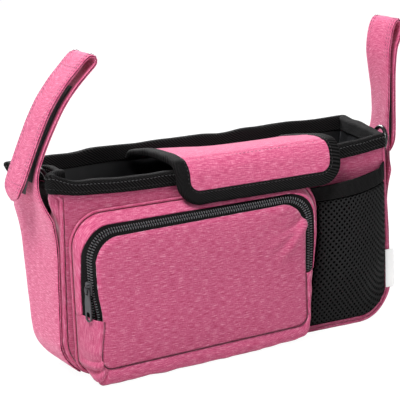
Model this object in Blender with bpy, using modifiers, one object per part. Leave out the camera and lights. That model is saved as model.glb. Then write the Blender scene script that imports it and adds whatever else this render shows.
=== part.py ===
"""Stroller organizer: a soft open bag with a padded lid flap, a zipped front pocket, a mesh pocket and two loop straps.

Metres, +Z up. The bag stands on its base at Z = 0, -Y faces the front and +X is to the right of the front.
Walls are built straight first, and settle() then moves each point to where the soft walls hang."""

import math

import bmesh
import bpy
from mathutils import Matrix, Vector

# Body
BASE_WIDTH = 0.340
RIM_WIDTH = 0.330
HEIGHT = 0.180
BASE_DEPTH = 0.063
RIM_DEPTH = 0.105
FRONT_Y = -0.050
CORNER_RADIUS = 0.036
WALL = 0.003
LINING = 0.0008
LINING_GAP = 0.0015
PIPING_RADIUS = 0.0016
BINDING_HEIGHT = 0.013
BINDING_GAP = 0.0007
TAPE = 0.0010
SEAM_GAP = 0.0004
EDGE_GAP = 0.0009

# How far the soft rim hangs out of its straight shape
SETTLE_FROM = 0.090
RIGHT_FLARE = 0.022
LEFT_DENT = 0.016
LEFT_EAR = 0.010
EAR_FROM = 0.150
RIM_SAG = 0.0075
SAG_CENTRE = 0.030
BACK_BOW = 0.006
BOW_CENTRE = -0.070
BOW_SPREAD = 0.060

# Lid flap
FLAP_LEFT = -0.058
FLAP_RIGHT = 0.110
FLAP_THICKNESS = 0.0034
FLAP_CORNER = 0.022
FLAP_DROP = 0.037
FLAP_ARCH = 0.181
FLAP_STAND_OFF = 0.0042
FLAP_LIFT_OFF = 0.0052
FLAP_TAPE_GAP = 0.0007
FLAP_BINDING_WIDTH = 0.012
FLAP_TAPE_WIDTH = 0.008
FLAP_TAPE_LENGTH = 0.060
FLAP_BEND = 0.009
FLAP_SINK = 0.0015
FLAP_BACK_RUN = 0.022

# Zipped pocket: the box it is sewn on by, and the smaller box of its front
POCKET_LEFT = -0.157
POCKET_RIGHT = 0.084
POCKET_BOTTOM = 0.008
POCKET_TOP = 0.1465
POCKET_CORNER = 0.028
POCKET_FOOT_CORNER = 0.014
POCKET_DEPTH_LEFT = 0.032
POCKET_DEPTH_RIGHT = 0.018
FRONT_INSET_LEFT = 0.008
FRONT_INSET_RIGHT = 0.020
FRONT_INSET_TOP = 0.0155
FRONT_INSET_BOTTOM = 0.008
POCKET_CLOTH = 0.0016
POCKET_PAD = 0.0024
POCKET_SWELL = 0.004
WELT_RADIUS = 0.0012
FRONT_CORNER_INSET = 0.005
FRONT_FOOT_INSET = 0.004
FACING_INSET = 0.50
FACING_DEPTH = 0.43
ZIP_END_DEPTH = 0.94
GUSSET_END_GAP = 0.012
TUCKS = 3
TUCK_FROM = 7.0
TUCK_TO = 8.2
TUCK_HEIGHT = 0.0012
POUCH_DROP = 0.0055

# Zipper
ZIP_LEFT_END = 0.060
ZIP_RIGHT_END = 0.066
ZIP_TAPE = 0.0006
COIL_WIDTH = 0.0025
COIL_HEIGHT = 0.0016
COIL_SPLIT = 0.0014
SLIDER_HEIGHT = 0.088
SLIDER_LENGTH = 0.012
SLIDER_WIDTH = 0.009
SLIDER_CORNER = 0.0028
SLIDER_PLATE = 0.0012
SLIDER_POST = 0.0008
SLIDER_POST_LENGTH = 0.0048
SLIDER_RUN = 0.0003
BRIDGE_LENGTH = 0.0078
BRIDGE_WIDTH = 0.0024
BRIDGE_BAR = 0.0012
BRIDGE_PLAY = 0.0002
PULL_LIFT = 0.0013
PULL_LENGTH = 0.030
PULL_WIDTH = 0.0080
PULL_NECK_WIDTH = 0.0062
PULL_THICKNESS = 0.0012
PULL_BAR = 0.0014
PULL_WINDOW = 0.0042
PULL_WINDOW_PLAY = 0.0012
PULL_WINDOW_CORNER = 0.0004
PULL_SHOULDER = 0.0040
PULL_TAPER = 0.0010
PULL_CHAMFER = 0.0008
PULL_HOLE_WIDTH = 0.0046
PULL_HOLE_LENGTH = 0.0075
PULL_HOLE_EDGE = 0.0016

# Mesh pocket
MESH_RIGHT = 0.1625
MESH_FOOT = 0.006
MESH_TOP_LEFT = 0.126
MESH_TOP_RIGHT = 0.136
MESH_THICKNESS = 0.0009
MESH_BULGE = 0.015
MESH_COLUMNS = 13
MESH_ROWS = 19
HEM_HEIGHT = 0.0125
HEM_THICKNESS = 0.0016

# Straps
STRAP_WIDTH = 0.040
STRAP_THICKNESS = 0.0022
STRAP_GAP = 0.0009
PANEL_TOP = 0.143
NECK_TOP = 0.185
STRAP_FOLD = 0.262
STRAP_DEPTH = 0.42
PANEL_FOOT_ANGLE = 55.0
HOOK_WIDTH = 0.030
HOOK_THICKNESS = 0.0010
HOOK_LENGTH = 0.070
HOOK_FROM_TIP = 0.010
LOOP_LOW = 0.152
LOOP_HIGH = 0.250
OUTER_FROM = 0.274
STRAP_FOOT_HEIGHTS = (CORNER_RADIUS, 0.065, 0.095, 0.120)
# Strap routes past the side panels: outwards from the rim's half width, and up
LEFT_STRAP = [
    (0.0065, 0.143), (0.0090, 0.156), (0.0095, 0.168), (0.0065, 0.183), (-0.0010, 0.201),
    (-0.0110, 0.220), (-0.0220, 0.238), (-0.0345, 0.253), (-0.0460, 0.264), (-0.0535, 0.2715),
    (-0.0523, 0.2775), (-0.0460, 0.2768), (-0.0360, 0.2675), (-0.0220, 0.253), (-0.0080, 0.234),
    (0.0035, 0.212), (0.0130, 0.191), (0.0200, 0.175), (0.0235, 0.163), (0.0230, 0.152),
]
RIGHT_STRAP = [
    (0.0085, 0.143), (0.0130, 0.156), (0.0162, 0.170), (0.0180, 0.190), (0.0185, 0.210),
    (0.0180, 0.232), (0.0180, 0.250), (0.0210, 0.267), (0.0242, 0.2755), (0.0285, 0.2793),
    (0.0322, 0.2745), (0.0302, 0.263), (0.0262, 0.252), (0.0246, 0.234), (0.0252, 0.210),
    (0.0256, 0.192), (0.0256, 0.176), (0.0248, 0.161), (0.0225, 0.148),
]

# Rings and their tabs
RING_ROD = 0.0020
RING_WIDTH = 0.034
RING_HEIGHT = 0.022
RING_CORNER = 0.003
LEFT_RING_LEAN = 30.0
RIGHT_RING_LEAN = 10.0
TAB_WIDTH = 0.022
TAB_THICKNESS = 0.0012
TAB_DROP = 0.012
TAB_RISE = 0.010
TAB_LAP = 0.0075
TAB_TURN = 230.0
TAB_GAP = 0.0016
RING_LEVEL = 0.152
LEFT_RING_Y = 0.004
RIGHT_RING_Y = -0.020

# Side label
LABEL_LEFT = 0.1634
LABEL_WIDTH = 0.0085
LABEL_LOW = 0.030
LABEL_LENGTH = 0.037
LABEL_THICKNESS = 0.0005

WELD = 0.00001
FLAP_TOP_ROWS = 7
FLAP_FOLD_ROWS = 6
FLAP_DROP_ROWS = 4
SIDE_COLUMNS = 8
FRONT_ROWS = 9
BACK_ROWS = 12
LINING_ROWS = 15
LINING_WALL_SHARE = 0.8
ZIP_CORNER_STEPS = 6
STRAP_ROWS = 44
LONG_COLUMNS = 14
LOOP_COLUMNS = 2 * (LONG_COLUMNS + SIDE_COLUMNS)
PINK = (0.45, 0.09, 0.21)
BLACK = (0.012, 0.012, 0.011)
LINING_BLACK = (0.008, 0.008, 0.009)
METAL = (0.12, 0.12, 0.125)
WHITE = (0.8, 0.8, 0.8)


def smooth(t):
    t = min(max(t, 0.0), 1.0)
    return t * t * (3.0 - 2.0 * t)


def mix(a, b, t):
    return a + (b - a) * t


def along(points, t):
    """The point at share t of a list of points, with each step counted alike."""
    place = min(max(t, 0.0), 1.0) * (len(points) - 1)
    index = min(int(place), len(points) - 2)
    return points[index].lerp(points[index + 1], place - index)


def through(points, steps):
    """A smooth curve through the given points, as a list with that many steps between neighbours."""
    dense = []
    for i in range(len(points) - 1):
        before = points[max(i - 1, 0)]
        after = points[min(i + 2, len(points) - 1)]
        start = points[i]
        end = points[i + 1]
        for step in range(steps):
            t = step / steps
            bend = 2 * start + (end - before) * t
            bend += (2 * before - 5 * start + 4 * end - after) * t**2
            bend += (3 * start - before - 3 * end + after) * t**3
            dense.append(bend / 2)
    dense.append(points[-1])
    return dense


class Route:
    """A path in a plane, read by length."""

    def __init__(self, points):
        self.points = points
        self.lengths = [0.0]
        for a, b in zip(points, points[1:]):
            self.lengths.append(self.lengths[-1] + (b - a).length)
        self.length = self.lengths[-1]

    def at(self, distance):
        distance = min(max(distance, 0.0), self.length)
        index = 0
        while index < len(self.points) - 2 and self.lengths[index + 1] < distance:
            index += 1
        span = self.lengths[index + 1] - self.lengths[index]
        return self.points[index].lerp(self.points[index + 1], (distance - self.lengths[index]) / span)

    def normal(self, distance):
        """The direction to the right of the way that the path runs."""
        step = 0.0015
        way = (self.at(distance + step) - self.at(distance - step)).normalized()
        return Vector((way.y, -way.x))

    def where(self, test):
        """The first length at which a point passes the test."""
        return next(length for point, length in zip(self.points, self.lengths) if test(point))


def half_width(z):
    return mix(BASE_WIDTH, RIM_WIDTH, z / HEIGHT) / 2


def back_y(z):
    return FRONT_Y + mix(BASE_DEPTH, RIM_DEPTH, z / HEIGHT)


def back_bow(x):
    return BACK_BOW * math.exp(-(((x - BOW_CENTRE) / BOW_SPREAD) ** 2))


def settle(point):
    x, y, z = point
    rise = smooth((z - SETTLE_FROM) / (HEIGHT - SETTLE_FROM))
    depth = min(max((y - FRONT_Y) / RIM_DEPTH, 0.0), 1.0)
    edge = min(abs(x) / (RIM_WIDTH / 2), 1.0) ** 3
    if z > NECK_TOP:
        depth = mix(depth, STRAP_DEPTH, smooth((z - NECK_TOP) / (STRAP_FOLD - NECK_TOP)))
    if x > 0:
        shift = RIGHT_FLARE * depth * rise * edge
        reach = (x - SAG_CENTRE) / (RIM_WIDTH / 2 - SAG_CENTRE)
    else:
        ear = LEFT_EAR * smooth((depth - 0.55) / 0.45) * smooth((z - EAR_FROM) / (HEIGHT - EAR_FROM))
        shift = (LEFT_DENT * math.sin(math.pi * depth) * rise - ear) * edge
        reach = (x - SAG_CENTRE) / (RIM_WIDTH / 2 + SAG_CENTRE)
    near_front = smooth(1 - (depth - 0.10) / 0.3)
    sag = RIM_SAG * (1 - min(abs(reach), 1.0) ** 3) * near_front * rise
    bow = back_bow(x) * smooth((depth - 0.5) / 0.4) * rise
    return Vector((x + shift, y + bow, z - sag))


def material(name, colour, roughness=0.9, metallic=0.0):
    made = bpy.data.materials.new(name)
    made.use_nodes = True
    shader = made.node_tree.nodes["Principled BSDF"]
    shader.inputs["Base Color"].default_value = (*colour, 1.0)
    shader.inputs["Roughness"].default_value = roughness
    shader.inputs["Metallic"].default_value = metallic
    return made


def collection(name):
    made = bpy.data.collections.new(name)
    bpy.context.scene.collection.children.link(made)
    return made


def add(name, data, colour, roughness=0.9, metallic=0.0):
    obj = bpy.data.objects.new(name, data)
    data.materials.append(material(name, colour, roughness, metallic))
    parts.objects.link(obj)
    return obj


def sheet(name, place, columns, rows, thickness, colour, closed=False, hole=None, foot=None, hangs=False):
    """Cloth: a grid of columns and rows laid by place(u, v) on its middle surface, then given its thickness.

    closed joins the last column to the first, hole(column, row) leaves cells out, foot closes the open
    edge below that height, and hangs moves the finished cloth to where the soft walls hang."""
    bm = bmesh.new()
    bmesh.ops.create_grid(bm, x_segments=columns, y_segments=rows, size=0.5)
    if hole:
        gone = []
        for face in bm.faces:
            middle = face.calc_center_median()
            if hole(int((middle.x + 0.5) * columns), int((middle.y + 0.5) * rows)):
                gone.append(face)
        bmesh.ops.delete(bm, geom=gone, context="FACES")
    for vert in bm.verts:
        vert.co = place(vert.co.x + 0.5, vert.co.y + 0.5)
    if closed:
        bmesh.ops.remove_doubles(bm, verts=bm.verts, dist=WELD)
    if foot is not None:
        rim = [e for e in bm.edges if e.is_boundary and max(v.co.z for v in e.verts) < foot]
        bmesh.ops.contextual_create(bm, geom=rim)
        bmesh.ops.recalc_face_normals(bm, faces=bm.faces)
    mesh = bpy.data.meshes.new(name)
    bm.to_mesh(mesh)
    bm.free()
    mesh.shade_smooth()
    obj = add(name, mesh, colour)
    solid = obj.modifiers.new("Thickness", "SOLIDIFY")
    solid.thickness = thickness
    solid.offset = 0.0
    solid.use_even_offset = True
    if hangs:
        obj = as_mesh(obj)
        for vert in obj.data.vertices:
            vert.co = settle(vert.co)
    return obj


def tube(name, points, radius, colour, closed=False, sides=2, roughness=0.9):
    """A cord or rod: a curve through the points with a round section and closed ends."""
    curve = bpy.data.curves.new(name, "CURVE")
    curve.dimensions = "3D"
    curve.bevel_depth = radius
    curve.bevel_resolution = sides
    curve.use_fill_caps = True
    spline = curve.splines.new("POLY")
    spline.points.add(len(points) - 1)
    for target, point in zip(spline.points, points):
        target.co = (*point, 1.0)
    spline.use_cyclic_u = closed
    spline.use_smooth = True
    return add(name, curve, colour, roughness)


def plate(name, outlines, thickness, colour, roughness=0.35, metallic=1.0):
    """A flat piece in its own XY plane: the first outline is its edge, and the others are holes."""
    curve = bpy.data.curves.new(name, "CURVE")
    curve.dimensions = "2D"
    curve.fill_mode = "BOTH"
    curve.extrude = thickness / 2
    for outline in outlines:
        spline = curve.splines.new("POLY")
        spline.points.add(len(outline) - 1)
        for target, point in zip(spline.points, outline):
            target.co = (*point, 0.0, 1.0)
        spline.use_cyclic_u = True
    return add(name, curve, colour, roughness, metallic)


def rounded(width, low, high, radius, steps=5):
    """A rectangle with round corners, from low to high and centred across."""
    points = []
    corners = [(1, high, 0), (-1, high, 90), (-1, low, 180), (1, low, 270)]
    for side, level, start in corners:
        centre = Vector((side * (width / 2 - radius), level + (radius if level == low else -radius)))
        for step in range(steps + 1):
            angle = math.radians(start + 90 * step / steps)
            points.append(centre + radius * Vector((math.cos(angle), math.sin(angle))))
    return points


def as_mesh(obj):
    """Turns a piece into a welded mesh that can be bent, cut and joined."""
    bpy.context.view_layer.update()
    graph = bpy.context.evaluated_depsgraph_get()
    mesh = bpy.data.meshes.new_from_object(obj.evaluated_get(graph))
    bm = bmesh.new()
    bm.from_mesh(mesh)
    bmesh.ops.remove_doubles(bm, verts=bm.verts, dist=WELD)
    bm.to_mesh(mesh)
    bm.free()
    made = bpy.data.objects.new(obj.name, mesh)
    made.matrix_world = obj.matrix_world
    name = obj.name
    bpy.data.objects.remove(obj)
    made.name = name
    parts.objects.link(made)
    return made


def block(name, size, centre):
    """A box that is joined to another piece."""
    bpy.ops.mesh.primitive_cube_add(size=1.0, location=centre)
    obj = bpy.context.object
    obj.name = name
    obj.scale = size
    bpy.ops.object.transform_apply(location=False, rotation=False, scale=True)
    for owner in list(obj.users_collection):
        owner.objects.unlink(obj)
    cutters.objects.link(obj)
    obj.hide_render = True
    obj.display_type = "WIRE"
    return obj


def u_route(inset, top, side_steps=12, arc_steps=7, base_steps=4):
    """The front view of a side wall: down the left side, along the base and up the right side, as X and Z."""
    radius = CORNER_RADIUS - inset
    points = []
    for step in range(side_steps):
        z = mix(top, CORNER_RADIUS, step / side_steps)
        points.append(Vector((-(half_width(z) - inset), z)))
    centre_x = half_width(CORNER_RADIUS) - CORNER_RADIUS
    for step in range(arc_steps):
        angle = math.pi / 2 * step / arc_steps
        points.append(
            Vector((-centre_x - radius * math.cos(angle), CORNER_RADIUS - radius * math.sin(angle)))
        )
    for step in range(base_steps // 2):
        points.append(Vector((-centre_x * (1 - 2 * step / base_steps), inset)))
    mirrored = [Vector((-p.x, p.y)) for p in reversed(points)]
    return [*points, Vector((0.0, inset)), *mirrored]


def wall_point(u, v, inset, top, y_of):
    """A point of the front or back wall, whose foot follows the round corners of the base."""
    share = math.sin(math.pi * (u - 0.5))
    foot_half = half_width(CORNER_RADIUS) - inset
    radius = CORNER_RADIUS - inset
    past = abs(share) * foot_half - (foot_half - radius)
    foot = inset + (radius - math.sqrt(max(radius**2 - past**2, 0.0)) if past > 0 else 0.0)
    z = mix(foot, top, v)
    x = share * (half_width(max(z, CORNER_RADIUS)) - inset)
    return Vector((x, y_of(z), z))


def side_y(share, z, inset):
    """Y across a side wall, kept clear of the front and back by the inset."""
    if share < WELD or share > 1 - WELD:
        return FRONT_Y + inset if share < WELD else back_y(z) - inset
    return mix(FRONT_Y, back_y(z), share)


def loop_point(u, z, inset, half):
    """A point of the level loop inside or outside the four walls: front, right side, back, left side."""
    front = FRONT_Y + inset
    back = back_y(z) - inset
    column = u * LOOP_COLUMNS + WELD
    if column >= LOOP_COLUMNS / 2:
        share = column - LOOP_COLUMNS / 2
        if share <= LONG_COLUMNS:
            return Vector((mix(half, -half, share / LONG_COLUMNS), back, z))
        return Vector((-half, side_y(1 - (share - LONG_COLUMNS) / SIDE_COLUMNS, z, inset), z))
    if column <= LONG_COLUMNS:
        return Vector((mix(-half, half, column / LONG_COLUMNS), front, z))
    return Vector((half, side_y((column - LONG_COLUMNS) / SIDE_COLUMNS, z, inset), z))


def build_walls():
    """Front and back panels, the gusset between them, and the piping in the seams."""
    top = HEIGHT - TAPE - 2 * SEAM_GAP
    edge = 2 * PIPING_RADIUS + EDGE_GAP

    def front_point(u, v):
        return wall_point(u, v, edge, top, lambda z: FRONT_Y + WALL / 2)

    def back_point(u, v):
        return wall_point(u, v, edge, top, lambda z: back_y(z) - WALL / 2)

    sheet("front_panel", front_point, 26, FRONT_ROWS, WALL, PINK, hangs=True)
    sheet("back_panel", back_point, 26, BACK_ROWS, WALL, PINK, hangs=True)
    route = u_route(WALL / 2, top)

    def gusset_point(u, v):
        spot = along(route, u)
        return Vector((spot.x, side_y(v, spot.y, edge), spot.y))

    sheet("gusset", gusset_point, len(route) - 1, SIDE_COLUMNS, WALL, PINK, hangs=True)
    seam = u_route(PIPING_RADIUS, HEIGHT - BINDING_HEIGHT - SEAM_GAP)
    front = [settle((p.x, FRONT_Y + PIPING_RADIUS, p.y)) for p in seam]
    back = [settle((p.x, back_y(p.y) - PIPING_RADIUS, p.y)) for p in seam]
    tube("front_piping", front, PIPING_RADIUS, PINK, sides=1)
    tube("back_piping", back, PIPING_RADIUS, PINK, sides=1)


def build_lining():
    """The black tub inside the walls."""
    inset = WALL + LINING_GAP + LINING / 2
    top = HEIGHT - TAPE - 2 * SEAM_GAP
    radius = CORNER_RADIUS - inset
    turn = LINING_WALL_SHARE

    def lining_point(u, v):
        if v <= turn:
            z = mix(top, CORNER_RADIUS, v / turn)
            half = half_width(z) - inset
        else:
            angle = math.pi / 2 * (v - turn) / (1 - turn)
            z = CORNER_RADIUS - radius * math.sin(angle)
            half = half_width(CORNER_RADIUS) - CORNER_RADIUS + radius * math.cos(angle)
        return loop_point(u, z, inset, half)

    sheet(
        "lining", lining_point, LOOP_COLUMNS, LINING_ROWS, LINING, LINING_BLACK,
        closed=True, foot=inset + WELD, hangs=True,
    )


def build_rim_binding():
    """The tape folded over the rim, all round the mouth."""
    outside = -(BINDING_GAP + TAPE / 2)
    inside = WALL + LINING_GAP + LINING + BINDING_GAP + TAPE / 2
    low = HEIGHT - BINDING_HEIGHT
    high = HEIGHT - TAPE / 2
    section = [
        Vector((outside, low)),
        Vector((outside, high)),
        Vector((inside, high)),
        Vector((inside, low)),
    ]

    def binding_point(u, v):
        inset, z = along(section, v)
        return loop_point(u, z, inset, half_width(z) - inset)

    sheet("rim_binding", binding_point, LOOP_COLUMNS, len(section) - 1, TAPE, BLACK, closed=True, hangs=True)


def flap_route():
    """The lid flap's run seen from the side, as Y and Z: from inside the back rim over to the front."""
    rest = BINDING_GAP + TAPE + FLAP_TAPE_GAP + FLAP_THICKNESS / 2
    under_binding = HEIGHT - BINDING_HEIGHT
    back = back_y(under_binding) - WALL - LINING_GAP - LINING - BINDING_GAP - TAPE - rest
    front = FRONT_Y - BINDING_GAP - TAPE - FLAP_STAND_OFF - FLAP_THICKNESS / 2
    fold = FLAP_ARCH - FLAP_SINK
    points = [
        Vector((back - FLAP_SINK, under_binding)),
        Vector((back - FLAP_BEND * 2 / 3, under_binding + FLAP_BEND / 2)),
        Vector((back - FLAP_BACK_RUN, mix(under_binding, FLAP_ARCH, 0.80))),
        Vector((0.0, FLAP_ARCH)),
        Vector((FRONT_Y + FLAP_BACK_RUN, FLAP_ARCH + FLAP_SINK / 3)),
        Vector((FRONT_Y + FLAP_SINK, fold)),
        Vector((front + FLAP_BEND / 3, fold - FLAP_BEND * 0.39)),
        Vector((front, fold - FLAP_BEND)),
        Vector((front - FLAP_LIFT_OFF * 0.3, fold - mix(FLAP_BEND, FLAP_DROP, 0.5))),
        Vector((front - FLAP_LIFT_OFF, fold - FLAP_DROP)),
    ]
    return Route(through(points, 5))


def build_flap():
    """The padded lid, its edge tape, and the touch tape under its front."""
    route = flap_route()
    centre = (FLAP_LEFT + FLAP_RIGHT) / 2
    half = (FLAP_RIGHT - FLAP_LEFT) / 2

    fold_from = route.where(lambda p: p.x < FRONT_Y + 0.006)
    fold_to = route.where(lambda p: p.x < FRONT_Y and p.y < FLAP_ARCH - 0.012)

    def flap_step(row, end):
        """The length along the flap at a row of its grid, with short steps round the fold."""
        if row <= FLAP_TOP_ROWS:
            return mix(0.0, fold_from, row / FLAP_TOP_ROWS)
        row -= FLAP_TOP_ROWS
        if row <= FLAP_FOLD_ROWS:
            return mix(fold_from, fold_to, row / FLAP_FOLD_ROWS)
        return mix(fold_to, end, (row - FLAP_FOLD_ROWS) / FLAP_DROP_ROWS)

    def flap_point(x, distance, lift):
        spot = route.at(distance) + route.normal(distance) * lift
        bow = back_bow(x) * (1 - min(distance / (RIM_DEPTH * 0.8), 1.0))
        return Vector((x, spot.x + bow, spot.y))

    edge = TAPE + EDGE_GAP

    def panel_point(u, v):
        share = math.sin(math.pi * (u - 0.5))
        radius = FLAP_CORNER - edge
        past = abs(share) * (half - edge) - (half - edge - radius)
        loss = radius - math.sqrt(max(radius**2 - past**2, 0.0)) if past > 0 else 0.0
        return flap_point(centre + share * (half - edge), flap_step(v * rows, route.length - edge - loss), 0.0)

    rows = FLAP_TOP_ROWS + FLAP_FOLD_ROWS + FLAP_DROP_ROWS
    sheet("flap_panel", panel_point, 10, rows, FLAP_THICKNESS, PINK)

    corner = [math.pi / 2 * step / 5 for step in range(6)]
    straight = route.length - FLAP_CORNER
    left = [(Vector((-half, flap_step(row, straight))), Vector((1.0, 0.0))) for row in range(rows)]
    for angle in corner:
        way = Vector((-math.cos(angle), math.sin(angle)))
        left.append((Vector((FLAP_CORNER - half, straight)) + way * FLAP_CORNER, -way))
    across = [
        (Vector((mix(FLAP_CORNER - half, half - FLAP_CORNER, step / 10), route.length)), Vector((0.0, -1.0)))
        for step in range(1, 10)
    ]
    right = [(Vector((-p.x, p.y)), Vector((-n.x, n.y))) for p, n in reversed(left)]
    rim = [*left, *across, *right]
    lift = FLAP_THICKNESS / 2 + FLAP_TAPE_GAP + TAPE / 2
    section = [
        Vector((FLAP_BINDING_WIDTH, -lift)),
        Vector((TAPE / 2, -lift)),
        Vector((TAPE / 2, lift)),
        Vector((FLAP_BINDING_WIDTH, lift)),
    ]

    def binding_point(u, v):
        index = min(int(round(u * (len(rim) - 1))), len(rim) - 1)
        spot, inward = rim[index]
        reach, height = along(section, v)
        flat = spot + inward * reach
        return flap_point(centre + flat.x, flat.y, height)

    sheet("flap_binding", binding_point, len(rim) - 1, len(section) - 1, TAPE, BLACK)

    low = POCKET_TOP + POCKET_CLOTH / 2 + 2 * WELT_RADIUS + 2 * SEAM_GAP
    loop_y = FRONT_Y - SEAM_GAP - HOOK_THICKNESS / 2

    def loop_tape(u, v):
        x = centre + mix(-0.5, 0.5, u) * FLAP_TAPE_LENGTH
        return Vector((x, loop_y, low + v * FLAP_TAPE_WIDTH))

    sheet("flap_loop_tape", loop_tape, 6, 1, HOOK_THICKNESS, BLACK)
    start = route.length - FLAP_BINDING_WIDTH - SEAM_GAP - FLAP_TAPE_WIDTH
    under = -(FLAP_THICKNESS / 2 + SEAM_GAP + HOOK_THICKNESS / 2)
    side = 1.0 if route.normal(start).x > 0 else -1.0

    def hook_tape(u, v):
        x = centre + mix(-0.5, 0.5, u) * FLAP_TAPE_LENGTH
        return flap_point(x, start + v * FLAP_TAPE_WIDTH, -side * under)

    sheet("flap_hook_tape", hook_tape, 6, 2, HOOK_THICKNESS, BLACK)


def pocket_box(share):
    """The pocket's outline, from the seam on the bag (share 0) to the edge of its front (share 1)."""
    box = [
        POCKET_LEFT + FRONT_INSET_LEFT * share,
        POCKET_RIGHT - FRONT_INSET_RIGHT * share,
        POCKET_BOTTOM + FRONT_INSET_BOTTOM * share,
        POCKET_TOP - FRONT_INSET_TOP * share,
    ]
    return box, POCKET_CORNER - FRONT_CORNER_INSET * share, POCKET_FOOT_CORNER - FRONT_FOOT_INSET * share


def pocket_ring(t, share, grow=0.0):
    """Walks the outline: 0 left side, 1 corner, 2 top, 3 corner, 4 right side, 5 corner, 6 bottom, 7 corner."""
    (left, right, bottom, top), head, foot = pocket_box(share)
    left, right, bottom, top = left - grow, right + grow, bottom - grow, top + grow
    head, foot = head + grow, foot + grow
    t = t % 8.0
    part = int(t)
    f = t - part
    if part == 0:
        return Vector((left, mix(bottom + foot, top - head, f)))
    if part == 2:
        return Vector((mix(left + head, right - head, f), top))
    if part == 4:
        return Vector((right, mix(top - head, bottom + foot, f)))
    if part == 6:
        return Vector((mix(right - foot, left + foot, f), bottom))
    radius = head if part in (1, 3) else foot
    centre = {
        1: Vector((left + head, top - head)),
        3: Vector((right - head, top - head)),
        5: Vector((right - foot, bottom + foot)),
        7: Vector((left + foot, bottom + foot)),
    }[part]
    angle = math.radians({1: 180, 3: 90, 5: 0, 7: 270}[part] - 90 * f)
    return centre + radius * Vector((math.cos(angle), math.sin(angle)))


def pocket_depth(x):
    share = (x - POCKET_LEFT) / (POCKET_RIGHT - POCKET_LEFT)
    return mix(POCKET_DEPTH_LEFT, POCKET_DEPTH_RIGHT, share)


def pocket_skin(t, share, depth, lift=0.0):
    """A point of the pocket's side: inset share and depth share of the way to the front, lifted outwards."""

    def spot(t, share, depth):
        flat = pocket_ring(t, share)
        base = pocket_ring(t, 0.0)
        seam_y = FRONT_Y - SEAM_GAP - POCKET_CLOTH / 2
        return Vector((flat.x, seam_y - depth * pocket_depth(base.x), flat.y))

    here = spot(t, share, depth)
    if not lift:
        return here
    step = 0.02
    around = spot(t + step, share, depth) - spot(t - step, share, depth)
    out_share = (1.0 - FACING_INSET) / (ZIP_END_DEPTH - FACING_DEPTH)
    forward = spot(t, share + out_share * step, depth + step) - spot(t, share - out_share * step, depth - step)
    outward = forward.cross(around).normalized()
    return here + outward * lift


def ring_place(level, side):
    """The walk value on a straight side at which the zipper's middle has the given height."""
    (left, right, bottom, top), head, foot = pocket_box((FACING_INSET + 1.0) / 2)
    share = (level - (bottom + foot)) / ((top - head) - (bottom + foot))
    return share if side < 0 else 5.0 - share


def zip_point(t, across, lift):
    """A point of the zipper band: across runs in metres from its middle line towards the front panel."""
    outer = pocket_skin(t, FACING_INSET, FACING_DEPTH)
    inner = pocket_skin(t, 1.0, ZIP_END_DEPTH)
    share = 0.5 + across / (inner - outer).length
    return pocket_skin(
        t, mix(FACING_INSET, 1.0, share), mix(FACING_DEPTH, ZIP_END_DEPTH, share), lift
    )


def band_half(t):
    return (pocket_skin(t, FACING_INSET, FACING_DEPTH) - pocket_skin(t, 1.0, ZIP_END_DEPTH)).length / 2


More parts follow.
